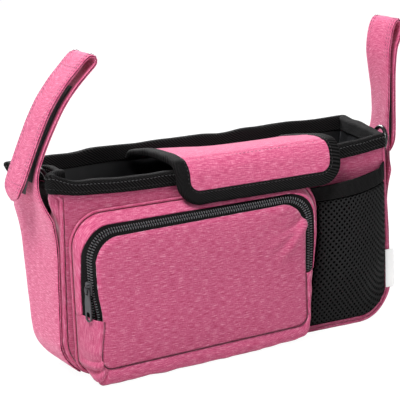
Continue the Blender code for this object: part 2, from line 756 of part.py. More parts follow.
def build_pocket():
    """The zipped pocket: seam welt, narrow facing, zipper tapes and coils, foot gusset and padded front."""
    start = ring_place(ZIP_LEFT_END, -1)
    end = ring_place(ZIP_RIGHT_END, 1)
    seam = []
    for t in [side + step / 6 for side in (1, 3, 5, 7) for step in range(7)]:
        flat = pocket_ring(t, 0.0, WELT_RADIUS + POCKET_CLOTH / 2 + SEAM_GAP)
        seam.append(Vector((flat.x, FRONT_Y - SEAM_GAP - WELT_RADIUS, flat.y)))
    tube("pocket_welt", seam, WELT_RADIUS, PINK, closed=True, sides=1)

    edge = SEAM_GAP / POCKET_DEPTH_LEFT
    corners = [side + step / ZIP_CORNER_STEPS for side in (1, 3) for step in range(ZIP_CORNER_STEPS + 1)]
    zip_walk = [start, *corners, end]
    zip_columns = len(zip_walk) - 1

    def facing_point(u, v):
        share = mix(2 * edge, 1 - 2 * edge, v)
        return pocket_skin(zip_walk[int(round(u * zip_columns))], FACING_INSET * share, FACING_DEPTH * share)

    sheet("pocket_facing", facing_point, zip_columns, 2, POCKET_CLOTH, PINK)
    # More columns stand in the left foot corner, where the fullness is sewn into tucks
    walk = [mix(end + GUSSET_END_GAP, 5.0, step / 2) for step in range(2)]
    walk += [5.0 + step / 4 for step in range(4)]
    walk += [6.0 + step / 3 for step in range(3)]
    walk += [mix(TUCK_FROM, 8.0 + start - GUSSET_END_GAP, step / 17) for step in range(18)]

    def gusset_point(u, v):
        t = walk[int(round(u * (len(walk) - 1)))]
        share = smooth((t - TUCK_FROM) / 0.2) * smooth((TUCK_TO - t) / 0.2)
        fold = TUCK_HEIGHT * share * math.sin(math.pi * v) ** 2
        fold *= math.cos(2 * math.pi * TUCKS * (t - TUCK_FROM) / (TUCK_TO - TUCK_FROM))
        fold += POUCH_DROP * math.sin(math.pi * v) * smooth(t - 4.9) * smooth((8.1 - t) / 1.2)
        depth = mix(2 * edge, 1.0, v) * ZIP_END_DEPTH
        share = mix(0.0, FACING_INSET, min(depth / FACING_DEPTH, 1.0))
        if depth > FACING_DEPTH:
            share = mix(FACING_INSET, 1.0, (depth - FACING_DEPTH) / (ZIP_END_DEPTH - FACING_DEPTH))
        return pocket_skin(t, share, depth, fold)

    sheet("pocket_gusset", gusset_point, len(walk) - 1, 4, POCKET_CLOTH, PINK)

    def tape_point(side):
        def place(u, v):
            t = zip_walk[int(round(u * zip_columns))]
            reach = band_half(t) - SEAM_GAP
            return zip_point(t, side * mix(COIL_SPLIT / 2, reach, v), -ZIP_TAPE / 2)

        return place

    def coil_point(side):
        def place(u, v):
            lift = SEAM_GAP + COIL_HEIGHT / 2
            across = side * mix(COIL_SPLIT / 2, COIL_SPLIT / 2 + COIL_WIDTH, v)
            return zip_point(zip_walk[int(round(u * zip_columns))], across, lift)

        return place

    for label, side in (("outer", -1), ("inner", 1)):
        sheet(f"zipper_tape_{label}", tape_point(side), zip_columns, 1, ZIP_TAPE, BLACK)
        sheet(f"zipper_coil_{label}", coil_point(side), zip_columns, 1, COIL_HEIGHT, BLACK)

    (left, right, bottom, top), head, foot = pocket_box(1.0)

    def front_point(u, v):
        share = math.sin(math.pi * (u - 0.5))
        middle = (left + right) / 2
        half = (right - left) / 2
        x = middle + share * half
        inner_head = half - head
        inner_foot = half - foot
        past = abs(share) * half
        low = bottom
        high = top
        if past > inner_foot:
            low = bottom + foot - math.sqrt(max(foot**2 - (past - inner_foot) ** 2, 0.0))
        if past > inner_head:
            high = top - head + math.sqrt(max(head**2 - (past - inner_head) ** 2, 0.0))
        z = mix(low, high, v)
        swell = POCKET_SWELL * (1 - share**4) * (1 - (2 * v - 1) ** 4)
        base_x = mix(POCKET_LEFT, POCKET_RIGHT, (x - left) / (right - left))
        y = FRONT_Y - SEAM_GAP - pocket_depth(base_x) - POCKET_PAD / 2 - swell
        return Vector((x, y, z))

    sheet("pocket_front", front_point, 16, 6, POCKET_PAD, PINK)


def build_slider():
    """The zipper slider with its bridge, and the pull tab that hangs from the bridge."""
    t = ring_place(SLIDER_HEIGHT, -1)
    centre = zip_point(t, 0.0, 0.0)
    out = (zip_point(t, 0.0, 0.01) - centre).normalized()
    up = Vector((0.0, 0.0, 1.0))
    side = up.cross(out)
    # In the slider's own frame X runs across the zipper, Y along it and Z outwards
    frame = Matrix.Translation(centre) @ Matrix((side, up, out)).transposed().to_4x4()
    above = SEAM_GAP + COIL_HEIGHT + SLIDER_RUN + SLIDER_PLATE / 2
    below = -(ZIP_TAPE + SLIDER_RUN + SLIDER_PLATE / 2)
    half_length = SLIDER_LENGTH / 2
    shape = rounded(SLIDER_WIDTH, -half_length, half_length, SLIDER_CORNER)
    body = plate("zipper_slider", [shape], SLIDER_PLATE, METAL)
    body.location.z = above
    body = as_mesh(body)
    body.data.transform(body.matrix_world)
    body.matrix_world = Matrix.Identity(4)
    under = block("slider_under_plate", (SLIDER_WIDTH, SLIDER_LENGTH, SLIDER_PLATE), (0, 0, below))
    post_size = (SLIDER_POST, SLIDER_POST_LENGTH, above - below)
    post = block("slider_post", post_size, (0, 0, (above + below) / 2))
    face = above + SLIDER_PLATE / 2
    bridge_inside = 2 * PULL_LIFT + BRIDGE_PLAY
    bridge_top = face + bridge_inside + BRIDGE_BAR / 2
    pieces = [under, post]
    for end in (-1, 1):
        leg_height = bridge_inside + BRIDGE_BAR
        leg_y = end * (BRIDGE_LENGTH - BRIDGE_BAR) / 2
        size = (BRIDGE_WIDTH, BRIDGE_BAR, leg_height + SLIDER_PLATE / 2)
        pieces.append(block(f"bridge_leg_{end}", size, (0, leg_y, face + leg_height / 2 - SLIDER_PLATE / 4)))
    pieces.append(block("bridge_bar", (BRIDGE_WIDTH, BRIDGE_LENGTH, BRIDGE_BAR), (0, 0, bridge_top)))
    for piece in pieces:
        join = body.modifiers.new(piece.name, "BOOLEAN")
        join.operation = "UNION"
        join.object = piece
        join.solver = "EXACT"
        piece.parent = body
    body.matrix_world = frame

    top = PULL_BAR / 2
    low = top - PULL_LENGTH
    neck = top - PULL_BAR - PULL_WINDOW - PULL_SHOULDER
    slim = PULL_NECK_WIDTH / 2
    wide = PULL_WIDTH / 2
    right_side = [Vector((slim - PULL_CHAMFER, top)), Vector((slim, top - PULL_CHAMFER))]
    right_side += [Vector((slim, neck + PULL_TAPER)), Vector((wide, neck - PULL_TAPER))]
    for step in range(7):
        angle = -math.pi / 2 * step / 6
        right_side.append(Vector((wide * math.cos(angle), low + wide + wide * math.sin(angle))))
    outline = right_side + [Vector((-p.x, p.y)) for p in reversed(right_side[:-1])]
    window_top = top - PULL_BAR
    window_width = BRIDGE_WIDTH + PULL_WINDOW_PLAY
    window = rounded(window_width, window_top - PULL_WINDOW, window_top, PULL_WINDOW_CORNER, 2)
    hole_low = low + PULL_HOLE_EDGE
    hole = rounded(PULL_HOLE_WIDTH, hole_low, hole_low + PULL_HOLE_LENGTH, PULL_HOLE_WIDTH * 0.46)
    pull = plate("zipper_pull", [outline, window, hole], PULL_THICKNESS, METAL)
    pull.parent = body
    pull.location = (0, 0, face + PULL_LIFT)


def mesh_left(z):
    """Where the mesh meets the zipped pocket's seam."""
    radius = POCKET_CORNER + 2 * WELT_RADIUS + POCKET_CLOTH / 2 + 2 * SEAM_GAP + EDGE_GAP
    drop = max(z - (POCKET_TOP - POCKET_CORNER), 0.0)
    return POCKET_RIGHT - POCKET_CORNER + math.sqrt(max(radius**2 - drop**2, 0.0))


def mesh_point(u, level):
    """A point of the mesh pocket: u across and level up, past 1 on its hem."""
    top = mix(MESH_TOP_LEFT, MESH_TOP_RIGHT, u)
    rough_x = mix(mesh_left(0.0), MESH_RIGHT, u)
    past = rough_x - (half_width(CORNER_RADIUS) - CORNER_RADIUS)
    radius = CORNER_RADIUS - MESH_FOOT
    foot = MESH_FOOT
    if past > 0:
        foot = CORNER_RADIUS - math.sqrt(max(radius**2 - past**2, 0.0))
    z = foot + (top - foot) * min(level, 1.0) + max(level - 1.0, 0.0) * HEM_HEIGHT
    x = mix(mesh_left(z), MESH_RIGHT, u)
    fullness = math.sin(math.pi * u) ** 0.8 * smooth(min(level, 1.0) / 0.45)
    fullness *= 1 - 0.18 * max(level - 1.0, 0.0)
    return Vector((x, FRONT_Y - SEAM_GAP - HEM_THICKNESS / 2 - MESH_BULGE * fullness, z))


def build_mesh_pocket():
    """The knitted mesh, with its openings, and the elastic hem above it."""
    low = SEAM_GAP / (MESH_TOP_RIGHT - MESH_FOOT)
    sheet(
        "mesh_panel", lambda u, v: mesh_point(u, v * (1 - 2 * low)), MESH_COLUMNS, MESH_ROWS, MESH_THICKNESS,
        BLACK, hole=lambda column, row: column % 2 == 1 and row % 2 == 1,
    )
    sheet("mesh_hem", lambda u, v: mesh_point(u, 1 + 0.01 + v * 0.99), 15, 2, HEM_THICKNESS, BLACK)


def strap_route(free):
    """One strap from the foot of its side panel up, over its fold and down to its tip, as outward X and Z."""
    out = STRAP_GAP + STRAP_THICKNESS / 2
    radius = CORNER_RADIUS + out
    centre_x = half_width(CORNER_RADIUS) - CORNER_RADIUS
    points = []
    for step in range(4):
        angle = math.radians(PANEL_FOOT_ANGLE * (1 - step / 4))
        points.append(Vector((centre_x + radius * math.cos(angle), CORNER_RADIUS - radius * math.sin(angle))))
    for z in STRAP_FOOT_HEIGHTS:
        points.append(Vector((half_width(z) + out, z)))
    points += [Vector((RIM_WIDTH / 2 + out_x, z)) for out_x, z in free]
    return Route(through(points, 4))


def build_strap(label, sign, free, hangs):
    """A side panel that narrows to a strap, folded outwards on itself, with its two touch tapes."""
    route = strap_route(free)
    inner_end = route.where(lambda p: p.y >= OUTER_FROM)
    half = STRAP_WIDTH / 2
    edge = 2 * PIPING_RADIUS + 2 * SEAM_GAP

    def reach(distance, end):
        """Where the front (end 0) or back (end 1) edge lies across the bag."""
        limit = half if end else -half
        z = route.at(distance).y
        if distance < inner_end and z < NECK_TOP:
            wide = back_y(z) - edge if end else FRONT_Y + edge
            return mix(limit, wide, min((NECK_TOP - z) / (NECK_TOP - PANEL_TOP), 1.0) ** 2)
        left = route.length - distance
        if left < half:
            return limit * math.sqrt(max(1 - ((half - left) / half) ** 2, 0.02))
        return limit

    def strap_point(distance, y, lift):
        spot = route.at(distance) + route.normal(distance) * lift
        return Vector((sign * spot.x, y, spot.y))

    def panel_point(u, v):
        distance = v * route.length
        return strap_point(distance, mix(reach(distance, 0), reach(distance, 1), u), 0.0)

    sheet(f"{label}_strap", panel_point, 3, STRAP_ROWS, STRAP_THICKNESS, PINK, hangs=hangs)
    lift = STRAP_THICKNESS / 2 + SEAM_GAP + HOOK_THICKNESS / 2

    def touch_tape(name, start, end):
        def place(u, v):
            return strap_point(mix(start, end, v), mix(-0.5, 0.5, u) * HOOK_WIDTH, lift)

        sheet(name, place, 2, 12, HOOK_THICKNESS, BLACK, hangs=hangs)

    loop_start = route.where(lambda p: p.y >= LOOP_LOW)
    loop_end = route.where(lambda p: p.y >= LOOP_HIGH)
    touch_tape(f"{label}_loop_tape", loop_start, loop_end)
    hook_end = route.length - HOOK_FROM_TIP
    touch_tape(f"{label}_hook_tape", hook_end - HOOK_LENGTH, hook_end)


def side_frame(sign, y):
    """A frame on the side wall's outer face: X outwards, Z up along the wall."""

    def surface(y, z):
        return settle((sign * half_width(z), y, z))

    step = 0.004
    centre = surface(y, RING_LEVEL)
    up = (surface(y, RING_LEVEL + step) - surface(y, RING_LEVEL - step)).normalized()
    level = (surface(y + step, RING_LEVEL) - surface(y - step, RING_LEVEL)).normalized()
    out = level.cross(up).normalized() * (1 if sign > 0 else -1)
    side = up.cross(out)
    return Matrix.Translation(centre) @ Matrix((out, side, up)).transposed().to_4x4()


def build_ring(label, sign, y, lean_angle):
    """A D-ring that stands on its straight bar, and the webbing tab folded round that bar."""
    frame = side_frame(sign, y)
    face = TAB_GAP + TAB_THICKNESS / 2
    turn = RING_ROD + SEAM_GAP + TAB_THICKNESS / 2
    bar_x = face + turn
    tab = [Vector((face, -TAB_DROP)), Vector((face, TAB_RISE / 2))]
    for step in range(9):
        angle = math.radians(180 - TAB_TURN * step / 8)
        tab.append(Vector((bar_x + turn * math.cos(angle), TAB_RISE + turn * math.sin(angle))))
    doubled = face + TAB_THICKNESS + SEAM_GAP
    tab += [Vector((doubled, TAB_RISE - TAB_LAP)), Vector((doubled, -TAB_DROP))]

    def tab_point(u, v):
        spot = along(tab, u)
        return frame @ Vector((spot.x, (v - 0.5) * TAB_WIDTH, spot.y))

    sheet(f"{label}_ring_tab", tab_point, len(tab) - 1, 2, TAB_THICKNESS, BLACK)

    half = RING_WIDTH / 2 - RING_ROD
    height = RING_HEIGHT - 2 * RING_ROD
    bend = RING_CORNER
    points = [Vector((0.0, -(half - bend), 0.0)), Vector((0.0, 0.0, 0.0)), Vector((0.0, half - bend, 0.0))]
    points.append(Vector((0.0, half - bend * 0.3, bend * 0.3)))
    for step in range(11):
        angle = math.pi * step / 10
        points.append(
            Vector((0.0, half * math.cos(angle), bend + (height - bend) * math.sin(angle)))
        )
    points.append(Vector((0.0, -(half - bend * 0.3), bend * 0.3)))
    ring = tube(f"{label}_d_ring", points, RING_ROD, BLACK, closed=True, sides=2, roughness=0.4)
    lean = Matrix.Rotation(math.radians(lean_angle), 4, "Y")
    ring.matrix_world = frame @ Matrix.Translation((bar_x, 0.0, TAB_RISE)) @ lean


def build_label():
    """The bare woven tag in the right front seam."""
    y = FRONT_Y - SEAM_GAP - LABEL_THICKNESS / 2

    def label_point(u, v):
        return Vector((LABEL_LEFT + u * LABEL_WIDTH, y, LABEL_LOW + v * LABEL_LENGTH))

    sheet("side_label", label_point, 1, 4, LABEL_THICKNESS, WHITE)


for old in list(bpy.data.objects):
    bpy.data.objects.remove(old)
parts = collection("stroller_organizer")
cutters = collection("cutters")

build_walls()
build_lining()
build_rim_binding()
build_flap()
build_pocket()
build_slider()
build_mesh_pocket()
build_strap("left", -1, LEFT_STRAP, hangs=False)
build_strap("right", 1, RIGHT_STRAP, hangs=True)
build_ring("left", -1, LEFT_RING_Y, LEFT_RING_LEAN)
build_ring("right", 1, RIGHT_RING_Y, RIGHT_RING_LEAN)
build_label()
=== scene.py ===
import math

import bmesh
import bpy
import numpy as np
from mathutils import Matrix, Vector, noise


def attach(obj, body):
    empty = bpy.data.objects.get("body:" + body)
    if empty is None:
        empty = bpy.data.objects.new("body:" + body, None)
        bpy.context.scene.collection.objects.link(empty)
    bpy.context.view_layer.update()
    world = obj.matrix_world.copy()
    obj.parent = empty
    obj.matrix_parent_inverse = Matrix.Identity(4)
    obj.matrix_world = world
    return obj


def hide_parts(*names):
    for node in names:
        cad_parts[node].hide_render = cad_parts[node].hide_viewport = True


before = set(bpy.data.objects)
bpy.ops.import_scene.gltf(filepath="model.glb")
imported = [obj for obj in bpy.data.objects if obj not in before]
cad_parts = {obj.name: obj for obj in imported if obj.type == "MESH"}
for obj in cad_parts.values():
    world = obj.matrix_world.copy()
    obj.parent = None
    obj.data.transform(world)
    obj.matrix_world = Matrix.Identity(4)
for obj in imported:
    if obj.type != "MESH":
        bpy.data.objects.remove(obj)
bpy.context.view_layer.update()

# Camera, floor and studio light.
# The bag stands on a pale floor under a large soft light from the upper left.
# A weak light fills in from the right front, and another lights the top from behind.
VIEW_AZIMUTH, VIEW_HEIGHT, VIEW_ROLL = math.radians(-27.03), math.radians(13.26), math.radians(-2.39)
VIEW_TARGET = Vector((-0.00591, 0.0, 0.1304))
VIEW_DISTANCE = 1.59055
toward = Vector((
    math.sin(VIEW_AZIMUTH) * math.cos(VIEW_HEIGHT),
    -math.cos(VIEW_AZIMUTH) * math.cos(VIEW_HEIGHT),
    math.sin(VIEW_HEIGHT),
))
level_right = Vector((math.cos(VIEW_AZIMUTH), math.sin(VIEW_AZIMUTH), 0.0))
level_up = toward.cross(level_right)
right = level_right * math.cos(VIEW_ROLL) + level_up * math.sin(VIEW_ROLL)
up = level_up * math.cos(VIEW_ROLL) - level_right * math.sin(VIEW_ROLL)
camera_data = bpy.data.cameras.new("camera")
camera_data.lens = 155.06
camera_data.sensor_width = 36.0
camera_data.sensor_fit = "HORIZONTAL"
camera_data.clip_start = 0.05
camera_data.clip_end = 20.0
camera = bpy.data.objects.new("camera", camera_data)
bpy.context.collection.objects.link(camera)
spot = VIEW_TARGET + toward * VIEW_DISTANCE
turn = Matrix((right, up, toward)).transposed()
camera.matrix_world = Matrix.Translation(spot) @ turn.to_4x4()
bpy.context.scene.camera = camera


def soft_light(name, place, aim, size, power):
    data = bpy.data.lights.new(name, "AREA")
    data.shape = "DISK"
    data.size = size
    data.energy = power
    lamp = bpy.data.objects.new(name, data)
    bpy.context.collection.objects.link(lamp)
    way = Vector(place) - Vector(aim)
    lamp.matrix_world = Matrix.Translation(place) @ way.to_track_quat("Z", "Y").to_matrix().to_4x4()


soft_light("key", (-1.15, -0.70, 2.30), (0.0, 0.0, 0.12), 1.0, 80.0)
soft_light("fill", (0.7, -2.4, 0.9), (0.0, 0.0, 0.12), 1.4, 11.0)
soft_light("back", (0.3, 1.9, 1.3), (0.0, 0.0, 0.15), 1.0, 62.0)

world = bpy.data.worlds.new("studio")
bpy.context.scene.world = world
world.use_nodes = True
tree = world.node_tree
tree.nodes.clear()
rays = tree.nodes.new("ShaderNodeLightPath")
seen = tree.nodes.new("ShaderNodeMath")
seen.operation = "MAXIMUM"
tree.links.new(rays.outputs["Is Camera Ray"], seen.inputs[0])
tree.links.new(rays.outputs["Is Transmission Ray"], seen.inputs[1])
joined = tree.nodes.new("ShaderNodeMixShader")
tree.links.new(seen.outputs[0], joined.inputs["Fac"])
for slot, colour in ((1, (0.26, 0.262, 0.268, 1.0)), (2, (1.0, 1.0, 1.0, 1.0))):
    sky = tree.nodes.new("ShaderNodeBackground")
    sky.inputs["Color"].default_value = colour
    tree.links.new(sky.outputs[0], joined.inputs[slot])
out = tree.nodes.new("ShaderNodeOutputWorld")
tree.links.new(joined.outputs[0], out.inputs["Surface"])
bpy.context.scene.view_settings.view_transform = "Standard"

floor_mesh = bpy.data.meshes.new("floor")
reach = 6.0
corners = [(-reach, -reach, 0), (reach, -reach, 0), (reach, reach, 0), (-reach, reach, 0)]
floor_mesh.from_pydata(corners, [], [(0, 1, 2, 3)])
floor = bpy.data.objects.new("floor", floor_mesh)
bpy.context.collection.objects.link(floor)
paper = bpy.data.materials.new("white_paper")
paper.use_nodes = True
tree = paper.node_tree
tree.nodes["Principled BSDF"].inputs["Base Color"].default_value = (0.82, 0.82, 0.82, 1.0)
tree.nodes["Principled BSDF"].inputs["Roughness"].default_value = 0.9
glow = tree.nodes.new("ShaderNodeEmission")
glow.inputs["Color"].default_value = (1.0, 1.0, 1.0, 1.0)
glow.inputs["Strength"].default_value = 1.08
rays = tree.nodes.new("ShaderNodeLightPath")
share = tree.nodes.new("ShaderNodeMath")
share.operation = "MULTIPLY"
share.inputs[1].default_value = 0.90
tree.links.new(rays.outputs["Is Camera Ray"], share.inputs[0])
blend = tree.nodes.new("ShaderNodeMixShader")
tree.links.new(share.outputs[0], blend.inputs["Fac"])
tree.links.new(tree.nodes["Principled BSDF"].outputs[0], blend.inputs[1])
tree.links.new(glow.outputs[0], blend.inputs[2])
tree.links.new(blend.outputs[0], tree.nodes["Material Output"].inputs["Surface"])
floor_mesh.materials.append(paper)


# Front panel, back panel and gusset.
# Padded walls of heathered polyester: a plain weave of deep pink and pale grey yarns over 3 mm of foam.
# Front and back are sewn to one gusset strip, which runs down one side, under the base and up the other.
BASE_WIDTH, RIM_WIDTH, HEIGHT = 0.340, 0.330, 0.180
BASE_DEPTH, RIM_DEPTH, FRONT_Y = 0.063, 0.105, -0.050
CORNER_RADIUS, WALL = 0.036, 0.003
LINING, LINING_GAP = 0.0008, 0.0015
TAPE, SEAM_GAP, EDGE_GAP = 0.0010, 0.0004, 0.0009
PIPING_RADIUS = 0.0016
SETTLE_FROM, RIGHT_FLARE, LEFT_DENT, LEFT_EAR, EAR_FROM = 0.090, 0.022, 0.016, 0.010, 0.150
FRONT_EAR, CORNER_LIFT, CORNER_SPREAD = 0.012, 0.006, 0.013
RIM_WAVE, WAVE_LENGTH, WAVES_FROM = 0.0018, 0.026, 0.160
RIM_SAG, SAG_CENTRE = 0.0075, 0.030
BACK_BOW, BOW_CENTRE, BOW_SPREAD = 0.006, -0.070, 0.060
PANEL_TOP, NECK_TOP, STRAP_FOLD, STRAP_DEPTH = 0.143, 0.185, 0.262, 0.42


def smooth(t):
    t = min(max(t, 0.0), 1.0)
    return t * t * (3.0 - 2.0 * t)


def mix(a, b, t):
    return a + (b - a) * t


def crowded(u, much):
    """From -1 to 1 as u runs from 0 to 1, with steps that shorten towards both ends."""
    return mix(2 * u - 1, math.sin(math.pi * (u - 0.5)), much)


def corner_loss(past, radius):
    """How far a round corner falls back from a straight edge, that far past the corner's start."""
    return radius - math.sqrt(max(radius**2 - past**2, 0.0)) if past > 0 else 0.0


def half_width(z):
    return mix(BASE_WIDTH, RIM_WIDTH, z / HEIGHT) / 2


def back_y(z):
    return FRONT_Y + mix(BASE_DEPTH, RIM_DEPTH, z / HEIGHT)


def back_bow(x):
    return BACK_BOW * math.exp(-(((x - BOW_CENTRE) / BOW_SPREAD) ** 2))


def settle(point):
    """Moves a point of the straight bag to where the soft bag hangs."""
    x, y, z = point
    rise = smooth((z - SETTLE_FROM) / (HEIGHT - SETTLE_FROM))
    depth = min(max((y - FRONT_Y) / RIM_DEPTH, 0.0), 1.0)
    edge = min(abs(x) / (RIM_WIDTH / 2), 1.0) ** 3
    if z > NECK_TOP:
        depth = mix(depth, STRAP_DEPTH, smooth((z - NECK_TOP) / (STRAP_FOLD - NECK_TOP)))
    if x > 0:
        shift = RIGHT_FLARE * depth * rise * edge
        reach = (x - SAG_CENTRE) / (RIM_WIDTH / 2 - SAG_CENTRE)
    else:
        ear = LEFT_EAR * smooth((depth - 0.55) / 0.45) * smooth((z - EAR_FROM) / (HEIGHT - EAR_FROM))
        beside = smooth(depth / 0.08) * math.exp(-(((depth - 0.11) / 0.09) ** 2))
        corner = math.exp(-(((depth - 0.05) / 0.10) ** 2))
        ear += FRONT_EAR * mix(beside, corner, smooth((z - 0.162) / 0.008)) * smooth((z - 0.130) / 0.038)
        shift = (LEFT_DENT * math.sin(math.pi * depth) * rise - ear) * edge
        reach = (x - SAG_CENTRE) / (RIM_WIDTH / 2 + SAG_CENTRE)
    near_front = smooth(1 - (depth - 0.10) / 0.3)
    sag = RIM_SAG * (1 - min(abs(reach), 1.0) ** 3) * near_front * rise
    high = smooth((z - WAVES_FROM) / 0.02)
    sag -= CORNER_LIFT * math.exp(-(((x + RIM_WIDTH / 2) / CORNER_SPREAD) ** 2)) * near_front * high
    sag -= RIM_WAVE * crumple((x, y, 0.0), WAVE_LENGTH, 12.0) * rise * high * (z <= NECK_TOP)
    bow = back_bow(x) * smooth((depth - 0.5) / 0.4) * rise
    return Vector((x + shift, y + bow, z - sag))


def crumple(point, size, seed=0.0):
    """Soft noise between -1 and 1 at a place on the bag, with dents about that size across."""
    return noise.noise(Vector(point) / size + Vector((seed, seed * 0.37, -seed)))


def cloth(name, place, columns, rows, thickness, finish, body="bag", out=1, hangs=False, closed=False,
          lift=None, flat=None):
    """Fine cloth with a round edge. place(u, v) lays its middle, and lift(u, v, point) raises it outwards.

    Its map holds the cloth's own metres, along the columns and up the rows. out is the side that shows."""
    us = [i / columns for i in range(columns + 1)]
    vs = [j / rows for j in range(rows + 1)]
    grid = np.array([[settle(place(u, v)) if hangs else place(u, v) for u in us] for v in vs])

    def normals():
        ring = np.concatenate([grid[:, -2:-1], grid, grid[:, 1:2]], axis=1) if closed else grid
        across = np.gradient(ring, axis=1)
        across = across[:, 1:-1] if closed else across
        normal = np.cross(across, np.gradient(grid, axis=0)) * out
        return normal / np.maximum(np.linalg.norm(normal, axis=2, keepdims=True), 1e-12)

    if lift:
        raised = np.array([[lift(u, v, grid[j, i]) for i, u in enumerate(us)] for j, v in enumerate(vs)])
        grid = grid + normals() * raised[:, :, None]
    if flat:
        cloth_map = np.array([[flat(p) for p in row] for row in grid])
    else:
        steps = np.linalg.norm(np.diff(grid, axis=1), axis=2)
        along_row = np.concatenate([np.zeros((rows + 1, 1)), np.cumsum(steps, axis=1)], axis=1)
        along_row -= along_row[:, columns // 2:columns // 2 + 1]
        steps = np.linalg.norm(np.diff(grid, axis=0), axis=2)
        up_column = np.concatenate([np.zeros((1, columns + 1)), np.cumsum(steps, axis=0)], axis=0)
        cloth_map = np.stack([along_row, up_column], axis=2)
    half = normals() * (thickness / 2)
    wide = columns + 1
    count = grid.shape[0] * wide
    points = [grid + half, grid - half]
    border = [(0, i) for i in range(wide)]
    if closed:
        borders = [border, [(rows, i) for i in range(wide)]]
    else:
        border += [(j, columns) for j in range(1, rows + 1)]
        border += [(rows, i) for i in range(columns - 1, -1, -1)] + [(j, 0) for j in range(rows - 1, -1, -1)]
        borders = [border]
    quads, corners = [], []
    for j in range(rows):
        for i in range(columns):
            four = [(j, i), (j, i + 1), (j + 1, i + 1), (j + 1, i)]
            quads.append([r * wide + c for r, c in four])
            quads.append([count + r * wide + c for r, c in reversed(four)])
            corners += [*four, *reversed(four)]
    flat_points = [p for layer in points for p in layer.reshape(-1, 3)]
    for border in borders:
        first = len(flat_points)
        for r, c in border:
            inner = grid[min(max(r, 1), rows - 1), min(max(c, 1), columns - 1)] if not closed else (
                grid[min(max(r, 1), rows - 1), c])
            away = grid[r, c] - inner
            size = np.linalg.norm(away)
            flat_points.append(grid[r, c] + away * (0.4 * thickness / size if size > 1e-9 else 0.0))
        for k in range(len(border) - 1):
            (r, c), (q, d) = border[k], border[k + 1]
            quads.append([r * wide + c, first + k, first + k + 1, q * wide + d])
            quads.append([count + r * wide + c, count + q * wide + d, first + k + 1, first + k])
            corners += [(r, c), (r, c), (q, d), (q, d), (r, c), (q, d), (q, d), (r, c)]
    mesh = bpy.data.meshes.new(name)
    mesh.from_pydata([Vector(p) for p in flat_points], [], quads)
    layer = mesh.uv_layers.new(name="cloth")
    layer.data.foreach_set("uv", np.array([cloth_map[r, c] for r, c in corners]).ravel())
    bm = bmesh.new()
    bm.from_mesh(mesh)
    bmesh.ops.remove_doubles(bm, verts=bm.verts, dist=1e-6)
    bmesh.ops.recalc_face_normals(bm, faces=bm.faces)
    bm.to_mesh(mesh)
    bm.free()
    return piece(name, mesh, finish, body)


def piece(name, mesh, finish, body="bag"):
    """A finished mesh as an object that moves with its body."""
    mesh.shade_smooth()
    mesh.materials.append(finish)
    made = bpy.data.objects.new(name, mesh)
    bpy.context.collection.objects.link(made)
    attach(made, body)
    return made


class Shader:
    """A Principled material and short ways to add the nodes that vary over its surface."""

    def __init__(self, name, roughness, metallic=0.0):
        self.made = bpy.data.materials.new(name)
        self.made.use_nodes = True
        self.tree = self.made.node_tree
        self.base = self.tree.nodes["Principled BSDF"]
        self.base.inputs["Roughness"].default_value = roughness
        self.base.inputs["Metallic"].default_value = metallic

    def node(self, kind, inputs=(), **settings):
        made = self.tree.nodes.new(kind)
        for key, value in settings.items():
            setattr(made, key, value)
        for key, value in dict(inputs).items():
            if isinstance(value, bpy.types.NodeSocket):
                self.tree.links.new(value, made.inputs[key])
            else:
                made.inputs[key].default_value = value
        return made

    def link(self, source, name):
        self.tree.links.new(source, self.base.inputs[name])

    def fix(self, **values):
        """Sets inputs of the Principled node, named with _ for each space."""
        for name, value in values.items():
            self.base.inputs[name.replace("_", " ")].default_value = value

    def cloth_map(self, scale, angle=0.0):
        if not hasattr(self, "coordinates"):
            self.coordinates = self.node("ShaderNodeUVMap", uv_map="cloth").outputs["UV"]
        inputs = {"Vector": self.coordinates, "Scale": scale, "Rotation": (0.0, 0.0, angle)}
        return self.node("ShaderNodeMapping", inputs).outputs["Vector"]

    def object_map(self, scale):
        place = self.node("ShaderNodeTexCoord").outputs["Object"]
        return self.node("ShaderNodeMapping", {"Vector": place, "Scale": scale}).outputs["Vector"]

    def noise(self, place, detail=2.0, rough=0.5):
        inputs = {"Vector": place, "Scale": 1.0, "Detail": detail, "Roughness": rough}
        return self.node("ShaderNodeTexNoise", inputs).outputs["Fac"]

    def math(self, operation, first, second=0.5):
        return self.node("ShaderNodeMath", {0: first, 1: second}, operation=operation).outputs[0]

    def ramp(self, factor, stops):
        made = self.node("ShaderNodeValToRGB", {"Fac": factor})
        band = made.color_ramp
        while len(band.elements) < len(stops):
            band.elements.new(0.5)
        for element, (place, colour) in zip(band.elements, stops):
            element.position = place
            element.color = (*colour, 1.0)
        return made.outputs["Color"]

    def weave(self, scale):
        """The product of two crossing waves, for a plain weave or rows of dots."""
        split = self.node("ShaderNodeSeparateXYZ", {"Vector": self.cloth_map((scale, scale, 1.0))})
        across, along = (self.math("SINE", split.outputs[axis]) for axis in "XY")
        return self.math("MULTIPLY", across, along)

    def bump(self, height, distance, strength=1.0):
        inputs = {"Height": height, "Distance": distance, "Strength": strength}
        self.link(self.node("ShaderNodeBump", inputs).outputs["Normal"], "Normal")


